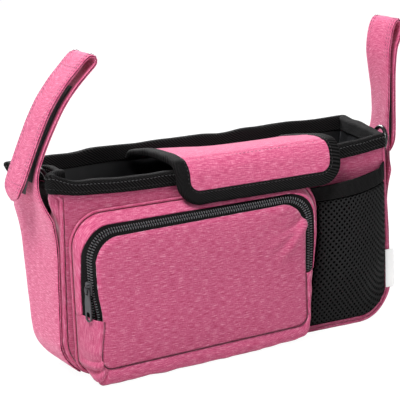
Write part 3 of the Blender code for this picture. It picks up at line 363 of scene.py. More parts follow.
def heathered_pink(name, painted_light_scale=1.0):
    """Deep pink and pale yarns: streaks along the weft and fewer along the warp, over a fine plain weave.
    painted_light_scale brightens or darkens the whole colour, making lit and shaded copies of the one cloth
    as painted light and shade.
    """
    pink = Shader(name, 0.92)
    pink.fix(Specular_IOR_Level=0.25)
    pink.fix(Sheen_Weight=0.30, Sheen_Roughness=0.40, Sheen_Tint=(1.0, 0.84, 0.91, 1.0))
    weft = pink.noise(pink.cloth_map((120.0, 1900.0, 1.0)), 3.0, 0.62)
    warp = pink.noise(pink.cloth_map((1700.0, 300.0, 1.0)), 2.0, 0.6)
    yarns = pink.math("ADD", pink.math("MULTIPLY", weft, 0.74), pink.math("MULTIPLY", warp, 0.26))
    stops = [
        (0.34, (0.30 * painted_light_scale, 0.024 * painted_light_scale, 0.085 * painted_light_scale)),
        (0.47, (0.42 * painted_light_scale, 0.062 * painted_light_scale, 0.145 * painted_light_scale)),
        (0.54, (0.49 * painted_light_scale, 0.100 * painted_light_scale, 0.195 * painted_light_scale)),
        (0.68, (0.66 * painted_light_scale, 0.30 * painted_light_scale, 0.40 * painted_light_scale)),
    ]
    pink.link(pink.ramp(yarns, stops), "Base Color")
    height = pink.math("ADD", pink.math("MULTIPLY", pink.weave(2300.0), 0.2), yarns)
    pink.bump(height, 0.00015, 0.25)
    return pink.made


PINK_CLOTH = heathered_pink("heathered_pink_cloth")
# A copy of the same cloth painted darker: painted shade for the front panel under the flap and rim.
SHADED_FRONT_PINK = heathered_pink("painted_shade_pink_cloth", 0.84)
# A copy of the same cloth painted brighter: painted light for the flap's top and the straps, which face the
# lamps.
LIT_PINK = heathered_pink("painted_light_pink_cloth", 1.22)
wall_top = HEIGHT - TAPE - 2 * SEAM_GAP
wall_edge = 2 * PIPING_RADIUS + EDGE_GAP


def wall_point(u, v, inset, top, y_of):
    """A point of the front or back wall, whose foot follows the round corners of the base."""
    share = crowded(u, 0.7)
    foot_half = half_width(CORNER_RADIUS) - inset
    radius = CORNER_RADIUS - inset
    z = mix(inset + corner_loss(abs(share) * foot_half - (foot_half - radius), radius), top, v)
    x = share * (half_width(max(z, CORNER_RADIUS)) - inset)
    return Vector((x, y_of(z), z))


def pucker(u, v, point):
    """Small dents where the seams draw the padded wall in, and soft hollows over the rest."""
    near_seam = smooth(1 - min(u, 1 - u) / 0.05)
    return 0.0004 * crumple(point, 0.035, 3.0) + 0.0004 * near_seam * crumple(point, 0.009, 7.0)


# The front panel wears the darker copy of the cloth, as painted shade from the flap and rim above it.
front_panel = cloth(
    "front_panel_cloth", lambda u, v: wall_point(u, v, wall_edge, wall_top, lambda z: FRONT_Y + WALL / 2),
    150, 90, WALL, SHADED_FRONT_PINK, hangs=True, lift=pucker, flat=lambda p: (p[0], p[2]),
)
back_panel = cloth(
    "back_panel_cloth", lambda u, v: wall_point(u, v, wall_edge, wall_top, lambda z: back_y(z) - WALL / 2),
    150, 90, WALL, PINK_CLOTH, hangs=True, out=-1, lift=pucker, flat=lambda p: (p[0], p[2]),
)


def u_route(inset, top, side_steps=12, arc_steps=7, base_steps=16):
    """The front view of a side wall: down the left side, along the base and up the right side."""
    radius = CORNER_RADIUS - inset
    points = []
    for step in range(side_steps):
        z = mix(top, CORNER_RADIUS, step / side_steps)
        points.append(Vector((-(half_width(z) - inset), z)))
    centre_x = half_width(CORNER_RADIUS) - CORNER_RADIUS
    for step in range(arc_steps):
        angle = math.pi / 2 * step / arc_steps
        out_x = centre_x + radius * math.cos(angle)
        points.append(Vector((-out_x, CORNER_RADIUS - radius * math.sin(angle))))
    for step in range(base_steps // 2):
        points.append(Vector((-centre_x * (1 - 2 * step / base_steps), inset)))
    mirrored = [Vector((-p.x, p.y)) for p in reversed(points)]
    return [*points, Vector((0.0, inset)), *mirrored]


def pick(values, u):
    """The value nearest share u of a list."""
    return values[min(int(round(u * (len(values) - 1))), len(values) - 1)]


def along(points, t):
    """The point at share t of a list of points, with each step counted alike."""
    place = min(max(t, 0.0), 1.0) * (len(points) - 1)
    index = min(int(place), len(points) - 2)
    return points[index].lerp(points[index + 1], place - index)


gusset_route = u_route(WALL / 2, wall_top, 36, 14, 30)


def gusset_point(u, v):
    spot = along(gusset_route, u)
    y = min(max(mix(FRONT_Y, back_y(spot.y), v), FRONT_Y + wall_edge), back_y(spot.y) - wall_edge)
    return Vector((spot.x, y, spot.y))


def gusset_lift(u, v, point):
    return 0.0002 * crumple(point, 0.03, 5.0)


gusset = cloth(
    "gusset_cloth", gusset_point, len(gusset_route) - 1, 40, WALL, PINK_CLOTH,
    hangs=True, out=-1, lift=gusset_lift,
)
for made, node in ((front_panel, "front_panel"), (back_panel, "back_panel"), (gusset, "gusset")):
    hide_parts(node)


# Piping.
# A strip of the same pink cloth folded round a cord and caught in the two long seams.
# Its sewing draws a fine dark furrow along each side.
def tube(name, points, radius, finish, body="bag", closed=False, sides=12, wobble=0.0, ups=None):
    """A round piece along a path, with its own map in metres. wobble varies its radius."""
    points = [Vector(p) for p in points]
    count = len(points)
    rings, lengths = [], [0.0]
    for i in range(count):
        before = points[(i - 1) % count if closed else max(i - 1, 0)]
        after = points[(i + 1) % count if closed else min(i + 1, count - 1)]
        way = (after - before).normalized()
        level = Vector((0.0, 1.0, 0.0)) if abs(way.y) < 0.9 else Vector((1.0, 0.0, 0.0))
        top = Vector(ups[i]) if ups else level
        side = way.cross(top).normalized()
        top = side.cross(way).normalized()
        size = radius * (1.0 + wobble * crumple(points[i], 0.006, 2.0))
        ring = []
        for s in range(sides):
            angle = 2 * math.pi * s / sides
            ring.append(points[i] + side * (math.cos(angle) * size) + top * (math.sin(angle) * size))
        rings.append(ring)
        if i:
            lengths.append(lengths[-1] + (points[i] - points[i - 1]).length)
    mesh = bpy.data.meshes.new(name)
    faces, maps = [], []
    for i in range(count if closed else count - 1):
        j = (i + 1) % count
        for s in range(sides):
            t = (s + 1) % sides
            faces.append((i * sides + s, i * sides + t, j * sides + t, j * sides + s))
            end = lengths[j] if j else lengths[-1] + (points[0] - points[-1]).length
            girth = 2 * math.pi * radius
            low, high = girth * s / sides, girth * (s + 1) / sides
            maps += [(lengths[i], low), (lengths[i], high), (end, high), (end, low)]
    if not closed:
        faces.append(tuple(range(sides))[::-1])
        faces.append(tuple((count - 1) * sides + s for s in range(sides)))
        maps += [(0.0, 0.0)] * (2 * sides)
    mesh.from_pydata([p for ring in rings for p in ring], [], faces)
    layer = mesh.uv_layers.new(name="cloth")
    layer.data.foreach_set("uv", np.array(maps).ravel())
    bm = bmesh.new()
    bm.from_mesh(mesh)
    bmesh.ops.recalc_face_normals(bm, faces=bm.faces)
    bm.to_mesh(mesh)
    bm.free()
    return piece(name, mesh, finish, body)


# The same cloth painted a little darker than the walls: painted shade.
PIPING_CLOTH = heathered_pink("piping_pink_cloth", 0.97)
piping_route = u_route(PIPING_RADIUS, HEIGHT - 0.013 - SEAM_GAP, 60, 20, 90)
for node, y_of in (
    ("front_piping", lambda z: FRONT_Y + PIPING_RADIUS),
    ("back_piping", lambda z: back_y(z) - PIPING_RADIUS),
):
    seam = [settle((p.x, y_of(p.y), p.y)) for p in piping_route]
    piping = tube(node + "_cord", seam, PIPING_RADIUS * 1.05, PIPING_CLOTH, wobble=0.10)
    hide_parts(node)


# Lining.
# A thin black tub of coated polyester inside the walls, with a grey sheen and soft wrinkles.
# It hangs from the binding and lies loose on the base.
class Route:
    """A path in a plane, read by length."""

    def __init__(self, points):
        self.points = points
        self.lengths = [0.0]
        for a, b in zip(points, points[1:]):
            self.lengths.append(self.lengths[-1] + (b - a).length)
        self.length = self.lengths[-1]

    def at(self, distance):
        distance = min(max(distance, 0.0), self.length)
        index = 0
        while index < len(self.points) - 2 and self.lengths[index + 1] < distance:
            index += 1
        span = self.lengths[index + 1] - self.lengths[index]
        return self.points[index].lerp(self.points[index + 1], (distance - self.lengths[index]) / span)

    def normal(self, distance):
        """The direction to the right of the way that the path runs."""
        step = 0.0015
        way = (self.at(distance + step) - self.at(distance - step)).normalized()
        return Vector((way.y, -way.x))

    def where(self, test):
        return next(length for point, length in zip(self.points, self.lengths) if test(point))


LOOP_LONG, LOOP_ARC, LOOP_SIDE = 72, 5, 24
LOOP_COLUMNS = 2 * (LOOP_LONG + LOOP_SIDE) + 4 * LOOP_ARC
RIM_CORNER, LINING_WALL_SHARE, LINING_CORNER_SHARE = 0.003, 0.62, 0.18


def loop_point(u, z, inset, half):
    """A point of the level loop inside or outside the walls: front, right side, back, left side."""
    front, back = FRONT_Y + inset, back_y(z) - inset
    radius = max(RIM_CORNER - inset, 0.0006)
    column = (u % 1.0) * LOOP_COLUMNS
    legs = (LOOP_LONG, LOOP_ARC, LOOP_SIDE, LOOP_ARC, LOOP_LONG, LOOP_ARC, LOOP_SIDE, LOOP_ARC)
    leg = 0
    while leg < 7 and column > legs[leg]:
        column -= legs[leg]
        leg += 1
    t = column / legs[leg]
    near_x, near_front, near_back = half - radius, front + radius, back - radius
    if leg == 0:
        return Vector((mix(-near_x, near_x, t), front, z))
    if leg == 2:
        return Vector((half, mix(near_front, near_back, t), z))
    if leg == 4:
        return Vector((mix(near_x, -near_x, t), back, z))
    if leg == 6:
        return Vector((-half, mix(near_back, near_front, t), z))
    middle_x, middle_y, start = {
        1: (near_x, near_front, -90),
        3: (near_x, near_back, 0),
        5: (-near_x, near_back, 90),
        7: (-near_x, near_front, 180),
    }[leg]
    angle = math.radians(start + 90 * t)
    return Vector((middle_x + radius * math.cos(angle), middle_y + radius * math.sin(angle), z))


lining_inset = WALL + LINING_GAP + LINING / 2
lining_radius = CORNER_RADIUS - lining_inset


def lining_point(u, v):
    """Down the walls, round the corners of the base, then over the base to its middle line."""
    if v <= LINING_WALL_SHARE:
        z = mix(wall_top, CORNER_RADIUS, v / LINING_WALL_SHARE)
        return loop_point(u, z, lining_inset, half_width(z) - lining_inset)
    angle = math.pi / 2 * min((v - LINING_WALL_SHARE) / LINING_CORNER_SHARE, 1.0)
    z = CORNER_RADIUS - lining_radius * math.sin(angle)
    half = half_width(CORNER_RADIUS) - CORNER_RADIUS + lining_radius * math.cos(angle)
    spot = loop_point(u, z, lining_inset, half)
    closing = max((v - 0.80) / 0.20, 0.0)
    spot.y = mix(spot.y, FRONT_Y + BASE_DEPTH / 2, 0.98 * closing)
    return spot


def lining_wrinkles(u, v, point):
    x, y, z = point
    crease = abs(crumple((x, y * 2, z * 0.45), 0.030, 11.0))
    low = smooth(v / 0.12)
    return (0.0040 * crease + 0.0014 * abs(crumple(point, 0.014, 4.0))) * low


coated = Shader("coated_black_lining", 0.36)
coated.fix(Specular_IOR_Level=0.3)
coated.fix(Sheen_Weight=0.12, Sheen_Roughness=0.35, Sheen_Tint=(0.7, 0.72, 0.78, 1.0))
cloud = coated.noise(coated.cloth_map((40.0, 40.0, 1.0)), 3.0)
coated.link(coated.ramp(cloud, [(0.3, (0.003, 0.003, 0.0035)), (0.7, (0.010, 0.010, 0.011))]), "Base Color")
coated.bump(coated.weave(7000.0), 0.00008, 0.5)
lining = cloth(
    "lining_cloth", lining_point, LOOP_COLUMNS, 84, LINING, coated.made,
    hangs=True, closed=True, lift=lining_wrinkles,
)
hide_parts("lining")


# Stitches.
# Short thread stitches, laid by one Geometry Nodes tree: it copies a small piece at even steps along a path.
# The piece points along the path, and its top points the way that the path's own ups tell.
def named_tree(name, inputs, output):
    """A Geometry Nodes tree with named inputs, and the calls that add its nodes and join them."""
    tree = bpy.data.node_groups.new(name, "GeometryNodeTree")
    for label, kind in inputs.items():
        tree.interface.new_socket(label, in_out="INPUT", socket_type="NodeSocket" + kind)
    tree.interface.new_socket(output, in_out="OUTPUT", socket_type="NodeSocketGeometry")
    return tree, tree.nodes.new, tree.links.new


def copier():
    inputs = {"Path": "Geometry", "Piece": "Object", "Pitch": "Float", "Finish": "Material"}
    tree, add, join = named_tree("copies_along_a_path", inputs, "Copies")
    given = add("NodeGroupInput")
    curve = add("GeometryNodeMeshToCurve")
    join(given.outputs["Path"], curve.inputs["Mesh"])
    even = add("GeometryNodeResampleCurve")
    even.mode = "LENGTH"
    join(curve.outputs["Curve"], even.inputs["Curve"])
    join(given.outputs["Pitch"], even.inputs["Length"])
    way = add("GeometryNodeInputTangent")
    turned = add("FunctionNodeAlignRotationToVector")
    turned.axis = "X"
    join(way.outputs["Tangent"], turned.inputs["Vector"])
    tops = add("GeometryNodeInputNamedAttribute")
    tops.data_type = "FLOAT_VECTOR"
    tops.inputs["Name"].default_value = "up"
    upright = add("FunctionNodeAlignRotationToVector")
    upright.axis = "Z"
    upright.pivot_axis = "X"
    join(turned.outputs["Rotation"], upright.inputs["Rotation"])
    join(tops.outputs["Attribute"], upright.inputs["Vector"])
    shape = add("GeometryNodeObjectInfo")
    join(given.outputs["Piece"], shape.inputs["Object"])
    copies = add("GeometryNodeInstanceOnPoints")
    join(even.outputs["Curve"], copies.inputs["Points"])
    join(shape.outputs["Geometry"], copies.inputs["Instance"])
    join(upright.outputs["Rotation"], copies.inputs["Rotation"])
    solid = add("GeometryNodeRealizeInstances")
    join(copies.outputs["Instances"], solid.inputs["Geometry"])
    painted = add("GeometryNodeSetMaterial")
    join(solid.outputs["Geometry"], painted.inputs["Geometry"])
    join(given.outputs["Finish"], painted.inputs["Material"])
    result = add("NodeGroupOutput")
    join(painted.outputs["Geometry"], result.inputs["Copies"])
    return tree


COPIER = copier()


def grown(name, base, tree, inputs, finish, body="bag"):
    """Runs a Geometry Nodes tree once on a mesh and keeps what it makes as a plain mesh."""
    carrier = bpy.data.objects.new(name + "_carrier", base)
    bpy.context.collection.objects.link(carrier)
    grow = carrier.modifiers.new("Grow", "NODES")
    grow.node_group = tree
    for item in tree.interface.items_tree:
        if item.in_out == "INPUT" and item.name in inputs:
            grow[item.identifier] = inputs[item.name]
    bpy.context.view_layer.update()
    mesh = bpy.data.meshes.new_from_object(carrier.evaluated_get(bpy.context.evaluated_depsgraph_get()))
    mesh.name = name
    bpy.data.objects.remove(carrier)
    mesh.materials.clear()
    return piece(name, mesh, finish, body)


def copies_along(name, paths, pitch, shape, finish, body="bag"):
    """Copies of a shape along paths, each a list of a point and its up."""
    points, ups, edges = [], [], []
    for path in paths:
        first = len(points)
        for point, top in path:
            points.append(Vector(point))
            ups.append(tuple(top))
        edges += [(first + k, first + k + 1) for k in range(len(path) - 1)]
    base = bpy.data.meshes.new(name + "_paths")
    base.from_pydata(points, edges, [])
    attribute = base.attributes.new("up", "FLOAT_VECTOR", "POINT")
    attribute.data.foreach_set("vector", np.array(ups, float).ravel())
    holder = bpy.data.objects.new(name + "_shape", shape)
    made = grown(name, base, COPIER, {"Piece": holder, "Pitch": pitch, "Finish": finish}, finish, body)
    bpy.data.objects.remove(holder)
    return made


def loft(name, rings, capped=True):
    """A mesh skinned over rings with the same number of points."""
    bm = bmesh.new()
    loops = [[bm.verts.new(point) for point in ring] for ring in rings]
    count = len(loops[0])
    for low, high in zip(loops, loops[1:]):
        for s in range(count):
            bm.faces.new((low[s], low[(s + 1) % count], high[(s + 1) % count], high[s]))
    if capped:
        bm.faces.new(loops[0][::-1])
        bm.faces.new(loops[-1])
    bmesh.ops.recalc_face_normals(bm, faces=bm.faces)
    mesh = bpy.data.meshes.new(name)
    bm.to_mesh(mesh)
    bm.free()
    return mesh


def stitch_shape(length, radius):
    """One stitch: a thread that dives into the cloth at both ends."""
    rings = []
    for share, size in ((-0.5, 0.45), (-0.32, 0.95), (0.0, 1.0), (0.32, 0.95), (0.5, 0.45)):
        sink = -radius * 1.2 * (2 * abs(share)) ** 3
        rings.append([
            (share * length, math.cos(a) * radius * size, math.sin(a) * radius * size + sink)
            for a in (math.pi * (2 * s + 1) / 6 for s in range(6))
        ])
    return loft("stitch", rings)


def thread_finish(name, colour):
    thread = Shader(name, 0.6)
    speck = thread.noise(thread.object_map((900.0, 900.0, 900.0)))
    dark = tuple(c * 0.6 for c in colour)
    thread.link(thread.ramp(speck, [(0.35, dark), (0.65, colour)]), "Base Color")
    return thread.made


# Grey thread for the rim's fold-edge stitches: painted highlight for the glints along that edge.
GLINT_GREY_THREAD = thread_finish("painted_glint_grey_thread", (0.075, 0.075, 0.078))
PLUM_THREAD = thread_finish("plum_thread", (0.16, 0.050, 0.105))
DARK_THREAD = thread_finish("dark_thread", (0.035, 0.026, 0.031))
BLACK_THREAD = thread_finish("black_thread", (0.012, 0.011, 0.012))
# Not a thread: the colour of a thin dark cord that is painted shadow along the pocket's front seam.
SEAM_SHADE = thread_finish("painted_seam_shadow", (0.09, 0.010, 0.030))


# Rim binding.
# Black twill tape folded over the rim, all round the mouth, and sewn through the walls.
# Stitches run along its folded edge, painted grey as painted highlights for their glints, and black ones near
# its lower edge outside.
def twill(name, tint=1.0, pitch=0.0019, angle=math.radians(52), sheen=0.03):
    """Black tape: fine diagonal ribs and a soft grey highlight. The rib crests are painted lighter as painted
    highlight, over a random fuzz of tone.
    """
    tape = Shader(name, 0.75)
    tape.fix(Specular_IOR_Level=0.06)
    tape.fix(Sheen_Weight=sheen, Sheen_Roughness=0.3, Sheen_Tint=(0.75, 0.75, 0.78, 1.0))
    split = tape.node("ShaderNodeSeparateXYZ", {"Vector": tape.cloth_map((1.0, 1.0, 1.0))})
    across = tape.math("MULTIPLY", split.outputs["X"], math.cos(angle))
    run = tape.math("ADD", across, tape.math("MULTIPLY", split.outputs["Y"], math.sin(angle)))
    ribs = tape.math("SINE", tape.math("MULTIPLY", run, 2 * math.pi / pitch))
    fuzz = tape.noise(tape.cloth_map((1500.0, 1500.0, 1.0)), 2.0)
    # The ramp paints the rib crests lighter as painted highlight; the fuzz adds random tone.
    level = tape.math("ADD", tape.math("MULTIPLY", ribs, 0.42), fuzz)
    low, high = (0.001 * tint, 0.001 * tint, 0.001 * tint), (0.020 * tint, 0.019 * tint, 0.0195 * tint)
    tape.link(tape.ramp(level, [(0.35, low), (1.0, high)]), "Base Color")
    tape.bump(level, 0.0004, 0.8)
    return tape.made


TWILL = twill("black_twill_tape")
BINDING_HEIGHT, BINDING_GAP = 0.013, 0.0007
bind_out = -(BINDING_GAP + TAPE / 2)
bind_in = WALL + LINING_GAP + LINING + BINDING_GAP + TAPE / 2
bind_low, bind_high = HEIGHT - BINDING_HEIGHT, HEIGHT - TAPE / 2
ease = 0.0024
bind_section = [Vector((bind_out, bind_low)), Vector((bind_out, bind_high - ease))]
for step in range(1, 5):
    angle = math.pi / 2 * step / 4
    inwards, down = ease * (1 - math.cos(angle)), ease * (1 - math.sin(angle))
    bind_section.append(Vector((bind_out + inwards, bind_high - down)))
for step in range(5):
    angle = math.pi / 2 * step / 4
    outwards, down = ease * (1 - math.sin(angle)), ease * (1 - math.cos(angle))
    bind_section.append(Vector((bind_in - outwards, bind_high - down)))
bind_section.append(Vector((bind_in, bind_low)))
bind_route = Route(bind_section)


def binding_point(u, v):
    inset, z = bind_route.at(v * bind_route.length)
    return loop_point(u, z, inset, half_width(z) - inset)


def binding_waves(u, v, point):
    return 0.00035 * crumple(point, 0.022, 9.0) + 0.00015 * crumple(point, 0.008, 1.0)


binding = cloth(
    "rim_binding_tape", binding_point, LOOP_COLUMNS, 30, TAPE, TWILL,
    hangs=True, closed=True, lift=binding_waves,
)
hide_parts("rim_binding")


def binding_row(share, raise_by):
    """A stitch path on the binding at a share of its section, raised off its surface."""
    path = []
    for k in range(401):
        u = k / 400
        here, near, above = (Vector(settle(binding_point(a, b))) for a, b in (
            (u, share), (u + 0.002, share), (u, share + 0.01)))
        top = (near - here).cross(above - here).normalized()
        path.append((here + top * raise_by, top))
    return path


seam_share = 0.0032 / bind_route.length
fold_share = (BINDING_HEIGHT - 0.0034) / bind_route.length
STITCH_LIFT = 0.0002
for name, share, radius, thread in (
    ("rim_binding_stitches", fold_share, 0.00026, GLINT_GREY_THREAD),
    ("rim_binding_seam", seam_share, 0.00020, BLACK_THREAD),
):
    row = binding_row(share, TAPE / 2 + STITCH_LIFT)
    copies_along(name, [row], 0.0036, stitch_shape(0.0021, radius), thread)


# Lid flap.
# A padded pink flap, sewn inside the back rim, that runs over the mouth and hangs over the front.
# Black twill binding runs round its free edges, and a plum stitch line crosses it at the fold.
FLAP_LEFT, FLAP_RIGHT, FLAP_THICKNESS = -0.058, 0.110, 0.0034
FLAP_CORNER, FLAP_DROP, FLAP_ARCH = 0.022, 0.037, 0.181
FLAP_STAND_OFF, FLAP_LIFT_OFF, FLAP_TAPE_GAP = 0.0042, 0.0052, 0.0007
FLAP_BEND, FLAP_SINK, FLAP_BACK_RUN, FLAP_BINDING_WIDTH, FLAP_DIP = 0.009, 0.0015, 0.022, 0.012, 0.0065


def through(points, steps):
    """A smooth curve through the given points, as a list with that many steps between neighbours."""
    dense = []
    for i in range(len(points) - 1):
        before, after = points[max(i - 1, 0)], points[min(i + 2, len(points) - 1)]
        start, end = points[i], points[i + 1]
        for step in range(steps):
            t = step / steps
            bend = 2 * start + (end - before) * t
            bend += (2 * before - 5 * start + 4 * end - after) * t**2
            bend += (3 * start - before - 3 * end + after) * t**3
            dense.append(bend / 2)
    return [*dense, points[-1]]


def flap_route():
    rest = BINDING_GAP + TAPE + FLAP_TAPE_GAP + FLAP_THICKNESS / 2
    back = back_y(bind_low) - WALL - LINING_GAP - LINING - BINDING_GAP - TAPE - rest
    front = FRONT_Y - BINDING_GAP - TAPE - FLAP_STAND_OFF - FLAP_THICKNESS / 2
    fold = FLAP_ARCH - FLAP_SINK
    return Route(through([
        Vector((back - FLAP_SINK, bind_low + FLAP_BEND / 3)),
        Vector((back - FLAP_BEND * 2 / 3, bind_low + FLAP_BEND * 0.8)),
        Vector((back - FLAP_BACK_RUN, mix(bind_low, FLAP_ARCH, 0.80))),
        Vector((0.0, FLAP_ARCH)),
        Vector((FRONT_Y + FLAP_BACK_RUN, FLAP_ARCH + FLAP_SINK / 3)),
        Vector((FRONT_Y + FLAP_SINK, fold)),
        Vector((front + FLAP_BEND / 3, fold - FLAP_BEND * 0.39)),
        Vector((front, fold - FLAP_BEND)),
        Vector((front - FLAP_LIFT_OFF * 0.3, fold - mix(FLAP_BEND, FLAP_DROP, 0.5))),
        Vector((front - FLAP_LIFT_OFF, fold - FLAP_DROP)),
    ], 8))


flap_path = flap_route()
flap_centre, flap_half = (FLAP_LEFT + FLAP_RIGHT) / 2, (FLAP_RIGHT - FLAP_LEFT) / 2
flap_fold = flap_path.where(lambda p: p.x < FRONT_Y - 0.001)


def flap_point(x, distance, lift):
    spot = flap_path.at(distance) + flap_path.normal(distance) * lift
    bow = back_bow(x) * (1 - min(distance / (RIM_DEPTH * 0.8), 1.0))
    dip = FLAP_DIP * smooth((x - FLAP_LEFT + 0.02) / 0.12) * smooth((flap_fold - distance) / 0.06)
    return Vector((x, spot.x + bow, spot.y - dip))


def flap_panel_point(u, v):
    share, inset = crowded(u, 0.6), TAPE + EDGE_GAP
    radius = FLAP_CORNER - inset
    loss = corner_loss(abs(share) * (flap_half - inset) - (flap_half - inset - radius), radius)
    return flap_point(flap_centre + share * (flap_half - inset), v * (flap_path.length - inset - loss), 0.0)


def flap_swell(u, v, point):
    """The padding swells between the binding and the fold's stitch line, with soft folds down the front."""
    inside = smooth((1 - abs(2 * u - 1)) / 0.16) * smooth((1 - v) / 0.16)
    distance = v * flap_path.length
    furrow = math.exp(-(((distance - flap_fold) / 0.0022) ** 2))
    down = smooth((distance - flap_fold - 0.002) / 0.008)
    folds = 0.0007 * crumple((point[0], point[1] * 0.4, point[2] * 0.25), 0.011, 6.0) * down
    top = 0.0005 * crumple(point, 0.030, 8.0) * (1 - down)
    return (0.0013 + folds + top) * inside - 0.0009 * furrow * inside


# The flap wears the brighter copy of the cloth, as painted light on its lit top.
flap_panel = cloth(
    "flap_panel_cloth", flap_panel_point, 110, 110, FLAP_THICKNESS, LIT_PINK, out=-1, lift=flap_swell,
)
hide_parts("flap_panel")

straight = flap_path.length - FLAP_CORNER
flap_rim = [(Vector((-flap_half, straight * k / 70)), Vector((1.0, 0.0))) for k in range(70)]
for k in range(15):
    angle = math.pi / 2 * k / 14
    way = Vector((-math.cos(angle), math.sin(angle)))
    flap_rim.append((Vector((FLAP_CORNER - flap_half, straight)) + way * FLAP_CORNER, -way))
other_side = [(Vector((-p.x, p.y)), Vector((-n.x, n.y))) for p, n in reversed(flap_rim)]
for k in range(1, 50):
    x = mix(FLAP_CORNER - flap_half, flap_half - FLAP_CORNER, k / 50)
    flap_rim.append((Vector((x, flap_path.length)), Vector((0.0, -1.0))))
flap_rim += other_side
flap_lift = FLAP_THICKNESS / 2 + FLAP_TAPE_GAP + TAPE / 2
roll = [Vector((FLAP_BINDING_WIDTH, -flap_lift)), Vector((flap_lift, -flap_lift))]
for k in range(1, 8):
    angle = math.pi * k / 8
    roll.append(Vector((flap_lift - (flap_lift - TAPE / 2) * math.sin(angle), -flap_lift * math.cos(angle))))
roll += [Vector((flap_lift, flap_lift)), Vector((FLAP_BINDING_WIDTH, flap_lift))]
roll_route = Route(roll)


def flap_binding_point(u, v):
    spot, inward = pick(flap_rim, u)
    reach, height = roll_route.at(v * roll_route.length)
    flat = spot + inward * reach
    return flap_point(flap_centre + flat.x, flat.y, height)


def flap_binding_waves(u, v, point):
    swell = 0.0006 * math.sin(math.pi * min(max((v - 0.5) / 0.5, 0.0), 1.0))
    return swell + 0.0004 * crumple(point, 0.014, 2.0)


flap_binding = cloth(
    "flap_binding_tape", flap_binding_point, len(flap_rim) - 1, 26, TAPE, TWILL, lift=flap_binding_waves,
)
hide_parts("flap_binding")

edge_path = []
for spot, inward in flap_rim:
    flat = spot + inward * (FLAP_BINDING_WIDTH - 0.0018)
    low = flap_point(flap_centre + flat.x, flat.y, flap_lift + TAPE / 2 + 0.0004)
    top = (low - flap_point(flap_centre + flat.x, flat.y, 0.0)).normalized()
    edge_path.append((low, top))
copies_along("flap_binding_stitches", [edge_path], 0.0038, stitch_shape(0.0022, 0.00028), DARK_THREAD)
fold_path = []
for k in range(81):
    x = mix(-flap_half + FLAP_BINDING_WIDTH, flap_half - FLAP_BINDING_WIDTH, k / 80) + flap_centre
    low = flap_point(x, flap_fold, FLAP_THICKNESS / 2 + 0.0006)
    fold_path.append((low, (low - flap_point(x, flap_fold, 0.0)).normalized()))
copies_along("flap_fold_stitches", [fold_path], 0.0040, stitch_shape(0.0027, 0.00036), PLUM_THREAD)

FLAP_TAPE_WIDTH, FLAP_TAPE_LENGTH, HOOK_THICKNESS = 0.008, 0.060, 0.0010
POCKET_TOP, POCKET_CLOTH, WELT_RADIUS = 0.1465, 0.0016, 0.0012


def touch(name, hooks):
    """Touch tape: rows of small hooks, or a fuzz of loops."""
    tape = Shader(name, 0.5 if hooks else 0.8)
    pattern = tape.noise(tape.cloth_map((2200.0, 2200.0, 1.0)), 3.0, 0.7)
    if hooks:
        pattern = tape.math("ADD", tape.math("MULTIPLY", tape.weave(4200.0), 0.3), pattern)
    tape.link(tape.ramp(pattern, [(0.3, (0.005, 0.005, 0.005)), (0.75, (0.040, 0.040, 0.042))]), "Base Color")
    tape.bump(pattern, 0.0004, 0.9)
    return tape.made


HOOKS, LOOPS = touch("black_hook_tape", True), touch("black_loop_tape", False)
loop_low = POCKET_TOP + POCKET_CLOTH / 2 + 2 * WELT_RADIUS + 2 * SEAM_GAP
loop_y = FRONT_Y - SEAM_GAP - HOOK_THICKNESS / 2
hook_start = flap_path.length - FLAP_BINDING_WIDTH - SEAM_GAP - FLAP_TAPE_WIDTH
hook_lift = -(FLAP_THICKNESS / 2 + SEAM_GAP + HOOK_THICKNESS / 2)


def flap_loop_point(u, v):
    return Vector((flap_centre + (u - 0.5) * FLAP_TAPE_LENGTH, loop_y, loop_low + v * FLAP_TAPE_WIDTH))


def flap_hook_point(u, v):
    x = flap_centre + (u - 0.5) * FLAP_TAPE_LENGTH
    return flap_point(x, hook_start + v * FLAP_TAPE_WIDTH, hook_lift)


for node, place, finish in (
    ("flap_loop_tape", flap_loop_point, LOOPS),
    ("flap_hook_tape", flap_hook_point, HOOKS),
):
    tape = cloth(node + "_cloth", place, 24, 4, HOOK_THICKNESS, finish)
    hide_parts(node)


# Zipped pocket.
# A pink pocket sewn flat on the front: a raised seam, a narrow facing painted brighter as painted light from
# above, a zipper, a padded front and a gusset round its foot, whose fullness is tucked at the left corner. It
# is deeper on the left.
POCKET_LEFT, POCKET_RIGHT, POCKET_BOTTOM = -0.157, 0.084, 0.008
POCKET_CORNER, POCKET_FOOT_CORNER = 0.028, 0.014
POCKET_DEPTH_LEFT, POCKET_DEPTH_RIGHT = 0.032, 0.018
FRONT_INSET_LEFT, FRONT_INSET_RIGHT, FRONT_INSET_TOP, FRONT_INSET_BOTTOM = 0.008, 0.020, 0.0155, 0.008
FRONT_CORNER_INSET, FRONT_FOOT_INSET = 0.005, 0.004
POCKET_PAD, POCKET_SWELL = 0.0024, 0.004
FACING_INSET, FACING_DEPTH, ZIP_END_DEPTH, GUSSET_END_GAP = 0.50, 0.43, 0.94, 0.012
FACING_INSET_RIGHT, FACING_DEPTH_RIGHT, FACING_INSET_LOW, FACING_DEPTH_LOW = 0.34, 0.76, 0.16, 0.28
ZIP_LEFT_END, ZIP_RIGHT_END, ZIP_TAPE = 0.060, 0.066, 0.0006
COIL_WIDTH, COIL_HEIGHT, COIL_SPLIT = 0.0025, 0.0016, 0.0014
TUCKS, TUCK_FROM, TUCK_TO, TUCK_HEIGHT, LEFT_BOW, RIGHT_NARROWING = 3, 7.0, 8.2, 0.0012, 0.004, 0.011
SLIDER_HEIGHT = 0.088


